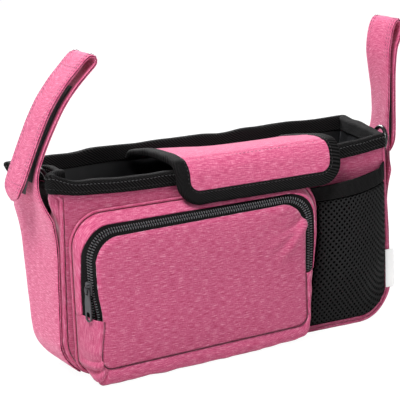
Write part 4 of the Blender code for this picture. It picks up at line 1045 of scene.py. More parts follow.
def pocket_box(share):
    """The pocket's outline, from the seam on the bag (share 0) to the edge of its front (share 1)."""
    box = (
        POCKET_LEFT + FRONT_INSET_LEFT * share, POCKET_RIGHT - FRONT_INSET_RIGHT * share,
        POCKET_BOTTOM + FRONT_INSET_BOTTOM * share, POCKET_TOP - FRONT_INSET_TOP * share,
    )
    return box, POCKET_CORNER - FRONT_CORNER_INSET * share, POCKET_FOOT_CORNER - FRONT_FOOT_INSET * share


def pocket_ring(t, share, grow=0.0):
    """Walks the outline: 0 left side, 2 top, 4 right side, 6 bottom, and a corner after each."""
    (left, right, bottom, top), head, foot = pocket_box(share)
    left, right, bottom, top = left - grow, right + grow, bottom - grow, top + grow
    head, foot = head + grow, foot + grow
    part, f = int(t % 8.0), t % 1.0
    if part % 2 == 0:
        start, end = {
            0: ((left, bottom + foot), (left, top - head)),
            2: ((left + head, top), (right - head, top)),
            4: ((right, top - head), (right, bottom + foot)),
            6: ((right - foot, bottom), (left + foot, bottom)),
        }[part]
        return Vector(start).lerp(Vector(end), f)
    centre, radius, angle = {
        1: ((left + head, top - head), head, 180),
        3: ((right - head, top - head), head, 90),
        5: ((right - foot, bottom + foot), foot, 0),
        7: ((left + foot, bottom + foot), foot, 270),
    }[part]
    angle = math.radians(angle - 90 * f)
    return Vector(centre) + radius * Vector((math.cos(angle), math.sin(angle)))


def left_bow(z):
    """How far the front's left edge is drawn in beside the open end of the zipper."""
    return LEFT_BOW * math.exp(-(((z - ZIP_LEFT_END) / 0.018) ** 2))


def right_narrowing(flat):
    """How far the pocket's foot is drawn in on the right, at a point of its outline."""
    return RIGHT_NARROWING * smooth((0.105 - flat.y) / 0.085) * smooth((flat.x - 0.03) / 0.05)


def pocket_depth(x):
    return mix(POCKET_DEPTH_LEFT, POCKET_DEPTH_RIGHT, (x - POCKET_LEFT) / (POCKET_RIGHT - POCKET_LEFT))


def facing_end(t, to_edge=False):
    """Where the facing ends and the zipper begins, as inset and depth shares: flatter on the right.

    to_edge gives the tape's real edge, farther out at the lower left than the band of the coils."""
    share = smooth((t - 2.7) / 0.9) if t < 5.0 else 0.0
    inset, depth = mix(FACING_INSET, FACING_INSET_RIGHT, share), mix(FACING_DEPTH, FACING_DEPTH_RIGHT, share)
    if t < 1.6 and to_edge:
        low = 1 - smooth((t - 0.5) / 1.0)
        return mix(inset, FACING_INSET_LOW, low), mix(depth, FACING_DEPTH_LOW, low)
    return inset, depth


def pocket_skin(t, share, depth, lift=0.0):
    """A point of the pocket's side: inset share and depth share of the way to the front, lifted outwards."""

    def spot(t, share, depth):
        flat, base = pocket_ring(t, share), pocket_ring(t, 0.0)
        left_side = t % 8.0 < 2.0 or t % 8.0 > 6.5
        bow = left_bow(flat.y) * max(share, 0.0) if left_side else -right_narrowing(flat) * (1 - share)
        y = FRONT_Y - SEAM_GAP - POCKET_CLOTH / 2 - depth * pocket_depth(base.x)
        return Vector((flat.x + bow, y, flat.y))

    here = spot(t, share, depth)
    if not lift:
        return here
    step = 0.02
    around = spot(t + step, share, depth) - spot(t - step, share, depth)
    inset, facing_depth = facing_end(t)
    out_share = (1.0 - inset) / (ZIP_END_DEPTH - facing_depth)
    ahead = spot(t, share + out_share * step, depth + step)
    behind = spot(t, share - out_share * step, depth - step)
    forward = ahead - behind
    return here + forward.cross(around).normalized() * lift


def ring_place(level, side):
    (left, right, bottom, top), head, foot = pocket_box((FACING_INSET + 1.0) / 2)
    share = (level - (bottom + foot)) / ((top - head) - (bottom + foot))
    return share if side < 0 else 5.0 - share


def zip_point(t, across, lift):
    """A point of the zipper band: across runs in metres from its middle line towards the front panel."""
    outer, inner = pocket_skin(t, *facing_end(t)), pocket_skin(t, 1.0, ZIP_END_DEPTH)
    share = 0.5 + across / (inner - outer).length
    inset, depth = facing_end(t)
    return pocket_skin(t, mix(inset, 1.0, share), mix(depth, ZIP_END_DEPTH, share), lift)


def band_half(t):
    return (pocket_skin(t, *facing_end(t)) - pocket_skin(t, 1.0, ZIP_END_DEPTH)).length / 2


zip_start, zip_end = ring_place(ZIP_LEFT_END, -1), ring_place(ZIP_RIGHT_END, 1)


def walk(start, end, straight=30, corner=16):
    """Even walk values: so many on each straight and each corner."""
    values, t = [], start
    while t < end - 1e-9:
        values.append(t)
        step = 1.0 / (corner if int(t % 8.0) % 2 else straight)
        border = math.floor(t + 1e-9) + 1.0
        t = min(t + step, border if border - t > 1e-6 else border + step, end)
    return [*values, end]


# A copy of the same cloth painted brighter: painted light on the upward-facing facing.
LIT_FACING_PINK = heathered_pink("painted_light_facing_pink_cloth", 1.12)
welt_path = []
for t in walk(0.0, 8.0)[:-1]:
    flat = pocket_ring(t, 0.0, WELT_RADIUS + POCKET_CLOTH / 2 + SEAM_GAP)
    welt_path.append(Vector((flat.x - right_narrowing(flat), FRONT_Y - SEAM_GAP - WELT_RADIUS, flat.y)))
welt = tube("pocket_welt_cord", welt_path, WELT_RADIUS, PIPING_CLOTH, closed=True, sides=10, wobble=0.12)
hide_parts("pocket_welt")

face_walk = walk(zip_start, zip_end)
face_edge = 2 * SEAM_GAP / POCKET_DEPTH_LEFT


def facing_point(u, v):
    share = mix(face_edge, 1 - face_edge, v)
    t = pick(face_walk, u)
    inset, depth = facing_end(t, True)
    return pocket_skin(t, inset * share, depth * share)


def facing_puff(u, v, point):
    return math.sin(math.pi * v) * (0.0008 + 0.0004 * crumple(point, 0.013, 3.0))


facing = cloth(
    "pocket_facing_cloth", facing_point, len(face_walk) - 1, 16, POCKET_CLOTH, LIT_FACING_PINK,
    out=-1, lift=facing_puff,
)
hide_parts("pocket_facing")

foot_walk = walk(zip_end + GUSSET_END_GAP, 8.0 + zip_start - GUSSET_END_GAP / 4, 60, 26)


def foot_point(u, v):
    """From the bag forward and down, round a soft roll and back up to the seam of the front."""
    t = pick(foot_walk, u)
    hang = smooth((t - 5.6) / 0.9) * smooth((7.6 - t) / 0.6)
    side = 1 - smooth((t - 5.3) / 0.7) * smooth((7.8 - t) / 0.6)
    section = through([
        Vector((0.0, 0.02)),
        Vector((mix(-0.10 - 0.45 * hang, 0.20, side), 0.42)),
        Vector((mix(-0.15 - 0.70 * hang, 0.42, side), 0.82)),
        Vector((mix(0.05 - 0.35 * hang, 0.70, side), 1.04)),
        Vector((mix(0.55, 0.86, side), 1.05)),
        Vector((1.0, 0.985)),
    ], 6)
    spot = along(section, v)
    return pocket_skin(t, spot.x, spot.y)


def foot_tucks(u, v, point):
    """Tucks at the left corner and soft gathers along the bottom."""
    t = pick(foot_walk, u)
    share = smooth((t - TUCK_FROM) / 0.2) * smooth((TUCK_TO - t) / 0.2)
    fold = math.cos(2 * math.pi * TUCKS * (t - TUCK_FROM + 0.05 * math.sin(5 * v)) / (TUCK_TO - TUCK_FROM))
    tuck = TUCK_HEIGHT * 1.5 * share * fold
    gather = 0.0009 * crumple((point[0], point[1] * 0.35, point[2]), 0.010, 6.0)
    return (tuck + gather) * math.sin(math.pi * v) ** 1.2


foot = cloth(
    "pocket_gusset_cloth", foot_point, len(foot_walk) - 1, 24, POCKET_CLOTH, PINK_CLOTH,
    out=-1, lift=foot_tucks,
)
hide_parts("pocket_gusset")
(front_left, front_right, front_bottom, front_top), front_head, front_foot = pocket_box(1.0)


def pocket_front_point(u, v):
    share, rise = crowded(u, 0.7), crowded(v, 0.5)
    middle, half = (front_left + front_right) / 2, (front_right - front_left) / 2
    x, past = middle + share * half, abs(share) * half
    low = front_bottom + corner_loss(past - half + front_foot, front_foot)
    high = front_top - corner_loss(past - half + front_head, front_head)
    z = mix(low, high, (rise + 1) / 2)
    swell = POCKET_SWELL * (1 - share**4) * (1 - rise**4)
    base_x = mix(POCKET_LEFT, POCKET_RIGHT, (x - front_left) / (front_right - front_left))
    x += left_bow(z) * (1 - (share + 1) / 2) ** 6
    border = min(half - past, z - low, high - z)
    roll_back = 0.0017 * (1 - smooth(border / 0.0035)) ** 1.5
    return Vector((x, FRONT_Y - SEAM_GAP - pocket_depth(base_x) - POCKET_PAD / 2 - swell + roll_back, z))


def pocket_front_folds(u, v, point):
    """Broad hollows, small dents along the zipper, and slanting wrinkles towards the upper right."""
    x, y, z = point
    near_edge = smooth(1 - min(u, 1 - u, v, 1 - v) / 0.08)
    broad = 0.0008 * crumple((x, 0.0, z), 0.045, 2.0)
    dents = 0.0005 * near_edge * crumple((x, 0.0, z), 0.010, 5.0)
    corner = smooth((x - 0.010) / 0.05) * smooth((z - 0.070) / 0.04)
    slant = 0.0050 * corner * crumple((0.35 * (x * 0.8 + z * 0.6), 0.0, z * 0.8 - x * 0.6), 0.014, 4.0)
    return (broad + slant + corner_creases(x, z)) * (1 - near_edge * 0.6) + dents


def corner_creases(x, z):
    """Three creases that fan out from the upper right corner, where the full pocket pulls."""
    from_x, from_z = x - (POCKET_RIGHT - 0.020), z - (POCKET_TOP - 0.034)
    height = 0.0
    for degrees, length, size in ((203, 0.060, 0.0030), (226, 0.052, 0.0038), (252, 0.040, 0.0026)):
        run_x, run_z = math.cos(math.radians(degrees)), math.sin(math.radians(degrees))
        along, across = from_x * run_x + from_z * run_z, from_x * run_z - from_z * run_x
        width = 0.0030 + 0.05 * max(along, 0.0)
        ends = smooth((along + 0.012) / 0.012) * smooth((length - along) / length)
        height += size * math.exp(-((across / width) ** 2)) * ends
    return height


pocket_front = cloth(
    "pocket_front_cloth", pocket_front_point, 150, 90, POCKET_PAD, PINK_CLOTH,
    lift=pocket_front_folds, flat=lambda p: (p[0], p[2]),
)
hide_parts("pocket_front")
# A thin dark pink cord along the front's seam: painted shadow for the furrow between the pocket front and its
# gusset.
seam_path = [pocket_skin(t, 0.985, 1.0) + Vector((0.0, -0.0012, 0.0)) for t in foot_walk]
tube("pocket_front_seam", seam_path, 0.00042, SEAM_SHADE, sides=8, wobble=0.3)


# Zipper.
# Two plain black tapes, sewn to the facing and the front, each with a nylon coil along its edge.
# The coils lock above the slider and part below it.
plain_tape = twill("plain_black_zipper_tape", tint=0.7, pitch=0.0009, angle=0.0, sheen=0.04)
coil_finish = Shader("black_nylon_coil", 0.32)
# The coil's grey is lighter than the tape's black: painted highlight for the glints on its teeth.
coil_finish.fix(Base_Color=(0.085, 0.085, 0.09, 1.0))
COIL_PITCH, COIL_WIRE, COIL_WIRE_THIN, COIL_TURN_HEIGHT = 0.0024, 0.00050, 0.00036, 0.00105


def coil_shape():
    """One turn of the coil, seen from outside: a bent wire across the tape."""
    rings = []
    for k in range(6):
        angle = math.pi * k / 5
        high = COIL_TURN_HEIGHT * math.sin(angle) ** 0.7
        middle = Vector((0.00012 * math.cos(angle), COIL_WIDTH / 2 * math.cos(angle), high))
        inward = Vector((0.0, math.cos(angle) * 0.8, math.sin(angle))).normalized()
        rings.append([
            middle + Vector((math.cos(a) * COIL_WIRE, 0.0, 0.0)) + inward * (math.sin(a) * COIL_WIRE_THIN)
            for a in (2 * math.pi * s / 6 for s in range(6))
        ])
    return loft("coil_turn", rings, capped=False)


slider_place = ring_place(SLIDER_HEIGHT, -1)


def parted(t, side):
    """How far a coil stands from the middle line: closed above the slider, parting below it."""
    below = smooth((slider_place - t) / (slider_place - zip_start)) if t < slider_place else 0.0
    return (0.0016 if side > 0 else 0.0004) * below


for label, side in (("outer", -1), ("inner", 1)):
    def tape_point(u, v, side=side):
        t = pick(face_walk, u)
        near = zip_point(t, side * (COIL_SPLIT / 2 + parted(t, side)), -ZIP_TAPE / 2)
        if side > 0:
            return near.lerp(zip_point(t, band_half(t) - SEAM_GAP, -ZIP_TAPE / 2), v)
        return near.lerp(pocket_skin(t, *facing_end(t, True), -ZIP_TAPE / 2), v * 0.97)

    tape = cloth(
        f"zipper_tape_{label}_cloth", tape_point, len(face_walk) - 1, 5, ZIP_TAPE, plain_tape, out=-side,
    )
    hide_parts(f"zipper_tape_{label}")
    path = []
    for t in face_walk:
        across = side * (COIL_SPLIT / 2 + COIL_WIDTH / 2 + parted(t, side))
        low = zip_point(t, across, SEAM_GAP * 0.5)
        path.append((low, (zip_point(t, across, 0.01) - low).normalized()))
    coil = copies_along(f"zipper_coil_{label}_turns", [path], COIL_PITCH, coil_shape(), coil_finish.made)
    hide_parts(f"zipper_coil_{label}")


# Zipper slider and pull.
# Die-cast dark metal: two plates round the coils and a bridge, which the pull hangs from.
# The pull is a long tapered plate with a window at its top and an oval hole at its lower end.
SLIDER_LENGTH, SLIDER_WIDTH, SLIDER_PLATE, SLIDER_POST, SLIDER_RUN = 0.012, 0.009, 0.0012, 0.0008, 0.0003
BRIDGE_LENGTH, BRIDGE_WIDTH, BRIDGE_BAR, BRIDGE_PLAY, PULL_LIFT = 0.0078, 0.0024, 0.0012, 0.0002, 0.0013
PULL_LENGTH, PULL_WIDTH, PULL_NECK_WIDTH, PULL_THICKNESS = 0.030, 0.0080, 0.0062, 0.0012
PULL_BAR, PULL_WINDOW, PULL_WINDOW_PLAY, PULL_SHOULDER = 0.0014, 0.0042, 0.0012, 0.0040
PULL_HOLE_WIDTH, PULL_HOLE_LENGTH, PULL_HOLE_EDGE = 0.0046, 0.0075, 0.0016

metal = Shader("dark_grey_metal", 0.38, 0.85)
metal.fix(Base_Color=(0.075, 0.075, 0.08, 1.0))
rub = metal.noise(metal.object_map((600.0, 600.0, 600.0)), 3.0)
metal.link(metal.ramp(rub, [(0.35, (0.32, 0.32, 0.32)), (0.7, (0.5, 0.5, 0.5))]), "Roughness")
metal.bump(rub, 0.00004, 0.4)

centre = zip_point(slider_place, 0.0, 0.0)
out_way = (zip_point(slider_place, 0.0, 0.01) - centre).normalized()
up_way = Vector((0.0, 0.0, 1.0))
slider_turn = Matrix((up_way.cross(out_way), up_way, out_way)).transposed()
slider_frame = Matrix.Translation(centre) @ slider_turn.to_4x4()
plate_high = SEAM_GAP + COIL_HEIGHT + SLIDER_RUN + SLIDER_PLATE / 2
plate_low = -(ZIP_TAPE + SLIDER_RUN + SLIDER_PLATE / 2)
slider_face = plate_high + SLIDER_PLATE / 2


def rounded(width, low, high, radius, steps=6):
    """A rectangle with round corners, from low to high and centred across."""
    points = []
    for side, level, start in ((1, high, 0), (-1, high, 90), (-1, low, 180), (1, low, 270)):
        middle = Vector((side * (width / 2 - radius), level + (radius if level == low else -radius)))
        for step in range(steps + 1):
            angle = math.radians(start + 90 * step / steps)
            points.append(middle + radius * Vector((math.cos(angle), math.sin(angle))))
    return points


def plate_mesh(outlines, thickness, bevel, height=0.0):
    """A flat plate with round edges: the first outline is its edge, and the others are holes."""
    curve = bpy.data.curves.new("plate", "CURVE")
    curve.dimensions = "2D"
    curve.fill_mode = "BOTH"
    curve.extrude = thickness / 2 - bevel
    curve.bevel_depth = bevel
    curve.bevel_resolution = 2
    curve.offset = -bevel
    for outline in outlines:
        spline = curve.splines.new("POLY")
        spline.points.add(len(outline) - 1)
        for target, point in zip(spline.points, outline):
            target.co = (*point, 0.0, 1.0)
        spline.use_cyclic_u = True
    carrier = bpy.data.objects.new("plate", curve)
    bpy.context.collection.objects.link(carrier)
    bpy.context.view_layer.update()
    mesh = bpy.data.meshes.new_from_object(carrier.evaluated_get(bpy.context.evaluated_depsgraph_get()))
    bpy.data.objects.remove(carrier)
    mesh.transform(Matrix.Translation((0.0, 0.0, height)))
    return mesh


def joined(name, meshes, place, finish, body):
    """Several meshes as one piece, put in place."""
    bm = bmesh.new()
    for mesh in meshes:
        bm.from_mesh(mesh)
    bm.transform(place)
    made = bpy.data.meshes.new(name)
    bm.to_mesh(made)
    bm.free()
    made.materials.clear()
    result = piece(name, made, finish, body)
    result.data.shade_flat()
    return result


def box_mesh(size, middle, bevel=0.0003):
    bm = bmesh.new()
    bmesh.ops.create_cube(bm, size=1.0, matrix=Matrix.Translation(middle) @ Matrix.Diagonal((*size, 1.0)))
    bmesh.ops.bevel(bm, geom=list(bm.edges), offset=bevel, segments=2, affect="EDGES", profile=0.5)
    mesh = bpy.data.meshes.new("box")
    bm.to_mesh(mesh)
    bm.free()
    return mesh


# The plates are wide where the locked coils leave and narrow towards the parted ones
half_long, half_wide = SLIDER_LENGTH / 2, SLIDER_WIDTH / 2
shield = []
for x, y in ((0.62, 1.0), (0.90, 0.80), (1.0, 0.45), (0.98, -0.55), (0.86, -0.88), (0.45, -1.0)):
    shield.append(Vector((x * half_wide, y * half_long)))
shield = shield + [Vector((-p.x, p.y)) for p in reversed(shield)]
wall_height = plate_high - plate_low
slider_meshes = [
    plate_mesh([shield], SLIDER_PLATE, 0.0003, plate_high),
    plate_mesh([shield], SLIDER_PLATE, 0.0003, plate_low),
    box_mesh((SLIDER_POST, 0.0048, wall_height), (0.0, 0.0, (plate_high + plate_low) / 2), 0.0001),
]
arch = []
bridge_top = slider_face + 2 * PULL_LIFT + BRIDGE_PLAY
for k in range(13):
    angle = math.pi * k / 12
    reach = (BRIDGE_LENGTH - BRIDGE_BAR) / 2
    height = (bridge_top + BRIDGE_BAR / 2 - slider_face + 0.0003) * math.sin(angle) ** 0.45
    past = math.copysign(abs(math.cos(angle)) ** 0.8, math.cos(angle))
    arch.append((past * reach, slider_face - 0.0003 + height))
rings = []
for k, (y, z) in enumerate(arch):
    near, far = arch[max(k - 1, 0)], arch[min(k + 1, 12)]
    way = Vector((0.0, far[0] - near[0], far[1] - near[1])).normalized()
    thick = way.cross(Vector((1.0, 0.0, 0.0)))
    rings.append([
        Vector((math.cos(a) * (BRIDGE_WIDTH / 2) * 1.05, y, z)) + thick * (math.sin(a) * BRIDGE_BAR / 2)
        for a in (2 * math.pi * s / 10 for s in range(10))
    ])
slider_meshes.append(loft("bridge", rings))
slider = joined("zipper_slider_body", slider_meshes, slider_frame, metal.made, "slider")
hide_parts("zipper_slider")

pull_top = PULL_BAR / 2
pull_low = pull_top - PULL_LENGTH
neck = pull_top - PULL_BAR - PULL_WINDOW - PULL_SHOULDER
slim, wide = PULL_NECK_WIDTH / 2, PULL_WIDTH / 2
side_line = [Vector(corner) for corner in (
    (slim * 0.55, pull_top), (slim * 0.9, pull_top - 0.0004), (slim, pull_top - 0.0013),
    (slim, neck + 0.0012), (mix(slim, wide, 0.35), neck), (wide * 0.97, neck - 0.0035),
)]
for step in range(13):
    angle = -math.pi / 2 * step / 12
    side_line.append(Vector((wide * math.cos(angle), pull_low + wide + wide * math.sin(angle))))
outline = side_line + [Vector((-p.x, p.y)) for p in reversed(side_line[:-1])]
window_top = pull_top - PULL_BAR
window = rounded(BRIDGE_WIDTH + PULL_WINDOW_PLAY, window_top - PULL_WINDOW, window_top, 0.0008)
hole_low = pull_low + PULL_HOLE_EDGE
oval = rounded(PULL_HOLE_WIDTH, hole_low, hole_low + PULL_HOLE_LENGTH, PULL_HOLE_WIDTH * 0.46)
pull_place = slider_frame @ Matrix.Translation((0.0, 0.0, slider_face + PULL_LIFT))
pull_mesh = plate_mesh([outline, window, oval], PULL_THICKNESS, 0.00025)
pull = joined("zipper_pull_plate", [pull_mesh], pull_place, metal.made, "pull")
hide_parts("zipper_pull")


# Mesh pocket.
# Black knitted mesh: a lattice of threads round small staggered openings, fuller in its middle.
# A thin dark layer lies behind it, and a ribbed elastic hem gathers its mouth.
MESH_RIGHT, MESH_FOOT, MESH_TOP_LEFT, MESH_TOP_RIGHT = 0.1625, 0.006, 0.126, 0.136
MESH_THICKNESS, MESH_BULGE, HEM_HEIGHT, HEM_THICKNESS = 0.0009, 0.015, 0.0125, 0.0016


def mesh_left(z):
    """Where the mesh meets the zipped pocket's seam."""
    radius = POCKET_CORNER + 2 * WELT_RADIUS + POCKET_CLOTH / 2 + 2 * SEAM_GAP + EDGE_GAP
    drop = max(z - (POCKET_TOP - POCKET_CORNER), 0.0)
    edge = POCKET_RIGHT - POCKET_CORNER + math.sqrt(radius**2 - drop**2)
    return edge - right_narrowing(Vector((edge, z)))


def mesh_point(u, level):
    """A point of the mesh pocket: u across and level up, past 1 on its hem."""
    top = mix(MESH_TOP_LEFT, MESH_TOP_RIGHT, u)
    past = mix(mesh_left(0.0), MESH_RIGHT, u) - (half_width(CORNER_RADIUS) - CORNER_RADIUS)
    radius = CORNER_RADIUS - MESH_FOOT
    foot = MESH_FOOT + corner_loss(past, radius)
    z = foot + (top - foot) * min(level, 1.0) + max(level - 1.0, 0.0) * HEM_HEIGHT
    x = mix(mesh_left(z), MESH_RIGHT, u)
    fullness = math.sin(math.pi * u) ** 0.8 * smooth(min(level, 1.0) / 0.45)
    fullness *= 1 - 0.18 * max(level - 1.0, 0.0)
    return Vector((x, FRONT_Y - SEAM_GAP - HEM_THICKNESS / 2 - MESH_BULGE * fullness, z))


def mesh_crease(point):
    """The soft folds of the full pocket, with one long crease down from its left end."""
    x, y, z = point
    line = 0.0935 + (0.135 - z) * 0.05
    crease = -0.0016 * math.exp(-(((x - line) / 0.0035) ** 2)) * smooth((z - 0.030) / 0.03)
    ease = smooth((x - 0.088) / 0.012) * smooth((0.160 - x) / 0.010) * smooth((z - 0.012) / 0.02)
    return (crease + 0.0008 * crumple((x, 0.0, z * 0.5), 0.018, 5.0)) * ease


def strands():
    """Each cell of the lattice becomes a ring of thread round its opening."""
    inputs = {"Cells": "Geometry", "Opening": "Float", "Depth": "Float", "Finish": "Material"}
    tree, add, join = named_tree("knitted_mesh", inputs, "Knit")
    given = add("NodeGroupInput")
    inset = add("GeometryNodeExtrudeMesh")
    inset.mode = "FACES"
    inset.inputs["Offset Scale"].default_value = 0.0
    join(given.outputs["Cells"], inset.inputs["Mesh"])
    shrink = add("GeometryNodeScaleElements")
    join(inset.outputs["Mesh"], shrink.inputs["Geometry"])
    join(inset.outputs["Top"], shrink.inputs["Selection"])
    join(given.outputs["Opening"], shrink.inputs["Scale"])
    opened = add("GeometryNodeDeleteGeometry")
    opened.domain = "FACE"
    join(shrink.outputs["Geometry"], opened.inputs["Geometry"])
    join(inset.outputs["Top"], opened.inputs["Selection"])
    thick = add("GeometryNodeExtrudeMesh")
    thick.mode = "FACES"
    thick.inputs["Individual"].default_value = False
    join(opened.outputs["Geometry"], thick.inputs["Mesh"])
    join(given.outputs["Depth"], thick.inputs["Offset Scale"])
    painted = add("GeometryNodeSetMaterial")
    join(thick.outputs["Mesh"], painted.inputs["Geometry"])
    join(given.outputs["Finish"], painted.inputs["Material"])
    result = add("NodeGroupOutput")
    join(painted.outputs["Geometry"], result.inputs["Knit"])
    return tree


knit = Shader("black_knitted_mesh", 0.7)
knit.fix(Specular_IOR_Level=0.08)
fibre = knit.noise(knit.object_map((1400.0, 1400.0, 1400.0)), 2.0)
knit.link(knit.ramp(fibre, [(0.3, (0.008, 0.008, 0.008)), (0.75, (0.020, 0.020, 0.0205))]), "Base Color")
knit.bump(fibre, 0.0002, 0.6)

MESH_COLUMNS, MESH_ROWS = 17, 42
cells, spots, known = [], [], {}
low_level = SEAM_GAP / (MESH_TOP_RIGHT - MESH_FOOT)


def lattice(i, j):
    """A corner of the diamond cells, in half columns and half rows."""
    if (i, j) not in known:
        spot = mesh_point(i / (2 * MESH_COLUMNS), mix(low_level, 1 - low_level, j / MESH_ROWS))
        spot.y -= mesh_crease(spot)
        known[(i, j)] = len(spots)
        spots.append(spot)
    return known[(i, j)]


for j in range(MESH_ROWS - 1):
    for i in range(1 + j % 2, 2 * MESH_COLUMNS, 2):
        cells.append([lattice(i, j), lattice(i + 1, j + 1), lattice(i, j + 2), lattice(i - 1, j + 1)])
base = bpy.data.meshes.new("mesh_cells")
base.from_pydata(spots, [], cells)
strand_inputs = {"Opening": 0.66, "Depth": MESH_THICKNESS, "Finish": knit.made}
mesh_panel = grown("mesh_panel_knit", base, strands(), strand_inputs, knit.made)
rounding = mesh_panel.modifiers.new("Rounding", "SUBSURF")
rounding.levels = rounding.render_levels = 1
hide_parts("mesh_panel")

backing_finish = twill("black_mesh_inner_layer", tint=0.08, sheen=0.0)


def backing_point(u, v):
    spot = mesh_point(u, mix(low_level, 1 - low_level, v))
    return spot + Vector((0.0, 0.0010 - mesh_crease(spot), 0.0))


backing = cloth("mesh_panel_inner_layer", backing_point, 60, 60, 0.0004, backing_finish)

elastic = twill("black_ribbed_elastic", pitch=0.0011, angle=math.radians(90))


def hem_point(u, v):
    spot = mesh_point(u, 1 + 0.01 + v * 0.99)
    spot.z += 0.004 * smooth((u - 0.90) / 0.10) * v
    return spot


def hem_gathers(u, v, point):
    gather = 0.0004 * math.sin(point[0] * 900) * 0.6 + 0.0005 * crumple(point, 0.012, 3.0)
    return gather * smooth(min(u, 1 - u) / 0.06)


hem = cloth("mesh_hem_elastic", hem_point, 120, 14, HEM_THICKNESS, elastic, lift=hem_gathers)
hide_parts("mesh_hem")


# Straps.
# Each strap starts as a side panel as wide as the bag, sewn on by its curved edges, narrows to 40 mm, runs up
# and folds outwards on itself to a round tip. It is two pink layers round a thin black core.
# Touch tape inside the fold holds it shut.
STRAP_WIDTH, STRAP_THICKNESS, STRAP_GAP, PANEL_FOOT_ANGLE = 0.040, 0.0022, 0.0009, 55.0
HOOK_WIDTH, HOOK_LENGTH, HOOK_FROM_TIP = 0.030, 0.070, 0.010
LOOP_LOW, LOOP_HIGH, OUTER_FROM, STITCHES_FROM, TIP_SKEW = 0.172, 0.250, 0.274, 0.118, 0.008
CROSS_ROWS, STRAP_LAYER, LAYER_LIFT = (0.268, 0.172), 0.0007, 0.00075
STRAP_FOOT_HEIGHTS = (CORNER_RADIUS, 0.065, 0.095, 0.120)
LEFT_STRAP = [
    (0.1715, 0.143), (0.1740, 0.156), (0.1745, 0.168), (0.1715, 0.183), (0.1640, 0.201), (0.1540, 0.220),
    (0.1430, 0.238), (0.1305, 0.253), (0.1190, 0.264), (0.1115, 0.2715), (0.1127, 0.2775), (0.1190, 0.2768),
    (0.1290, 0.2675), (0.1430, 0.253), (0.1570, 0.234), (0.1685, 0.212), (0.1780, 0.191), (0.1850, 0.175),
    (0.1885, 0.166), (0.1883, 0.1565),
]
RIGHT_STRAP = [
    (0.1735, 0.143), (0.1780, 0.156), (0.1812, 0.170), (0.1830, 0.190), (0.1835, 0.210), (0.1830, 0.232),
    (0.1830, 0.250), (0.1860, 0.267), (0.1892, 0.2755), (0.1935, 0.2793), (0.1972, 0.2745), (0.1952, 0.263),
    (0.1912, 0.252), (0.1896, 0.234), (0.1902, 0.210), (0.1906, 0.192), (0.1906, 0.176), (0.1898, 0.161),
    (0.1875, 0.148),
]
core_finish = twill("black_strap_core", tint=0.7, sheen=0.02)


class Strap:
    """One strap's own place: its route in outward X and Z, and its width at each length."""

    def __init__(self, label, sign, free, hangs):
        self.label, self.sign, self.hangs = label, sign, hangs
        outside = STRAP_GAP + STRAP_THICKNESS / 2
        radius = CORNER_RADIUS + outside
        centre_x = half_width(CORNER_RADIUS) - CORNER_RADIUS
        points = []
        for step in range(4):
            angle = math.radians(PANEL_FOOT_ANGLE * (1 - step / 4))
            out_x = centre_x + radius * math.cos(angle)
            points.append(Vector((out_x, CORNER_RADIUS - radius * math.sin(angle))))
        points += [Vector((half_width(z) + outside, z)) for z in STRAP_FOOT_HEIGHTS]
        self.route = Route(through(points + [Vector(p) for p in free], 8))
        self.inner_end = self.route.where(lambda p: p.y >= OUTER_FROM)

    def reach(self, distance, end):
        limit = STRAP_WIDTH / 2 if end else -STRAP_WIDTH / 2
        z = self.route.at(distance).y
        edge = 2 * PIPING_RADIUS + 2 * SEAM_GAP
        if distance < self.inner_end and z < NECK_TOP:
            wide = back_y(z) - edge if end else FRONT_Y + edge
            return mix(limit, wide, min((NECK_TOP - z) / (NECK_TOP - PANEL_TOP), 1.0) ** 2)
        left = self.route.length - distance
        if left < STRAP_WIDTH / 2:
            return limit * math.sqrt(max(1 - ((STRAP_WIDTH / 2 - left) / (STRAP_WIDTH / 2)) ** 2, 0.02))
        return limit

    def point(self, distance, y, lift):
        lift -= 0.0016 * (1 - smooth(distance / 0.030))
        spot = self.route.at(distance) + self.route.normal(distance) * lift
        place = (self.sign * spot.x, y, spot.y)
        return settle(place) if self.hangs else Vector(place)

    def layer(self, name, lift, inset, thickness, finish, puff):
        """One layer of the strap, lifted off its middle and set in from its edges."""
        def place(u, v):
            distance = mix(inset * 0.5, self.route.length - inset, v)
            low, high = self.reach(distance, 0) + inset, self.reach(distance, 1) - inset
            share = crowded(u, 0.4) / 2 + 0.5
            return self.point(distance, mix(low, high, share), lift)

        def swell(u, v, point):
            near = smooth(min(u, 1 - u) / 0.12)
            return (puff * near + 0.00025 * crumple(point, 0.012, 3.0)) * (1 if lift > 0 else -1)

        return cloth(f"{self.label}_{name}", place, 34, 150, thickness, finish, out=self.sign, lift=swell)

    def row(self, spots, lift):
        """A stitch path over spots of the strap, each a distance and a Y, with its ups."""
        lows = [self.point(distance, y, lift) for distance, y in spots]
        tops = [self.point(distance, y, lift * 3) for distance, y in spots]
        return [(low, (top - low).normalized()) for low, top in zip(lows, tops)]

    def edge_row(self, end, inward, lift, start, stop):
        distances = [mix(start, stop, k / 160) for k in range(161)]
        return self.row([(d, self.reach(d, end) + (-inward if end else inward)) for d in distances], lift)

    def cross_row(self, level, lift):
        """A row across the outer half of the strap, where it comes down past a level."""
        steps = (self.inner_end + k * 0.001 for k in range(200))
        distance = next(d for d in steps if self.route.at(d).y < level)
        reach = self.reach(distance, 1) - 0.002
        return self.row([(distance, mix(-reach, reach, k / 20)) for k in range(21)], lift)


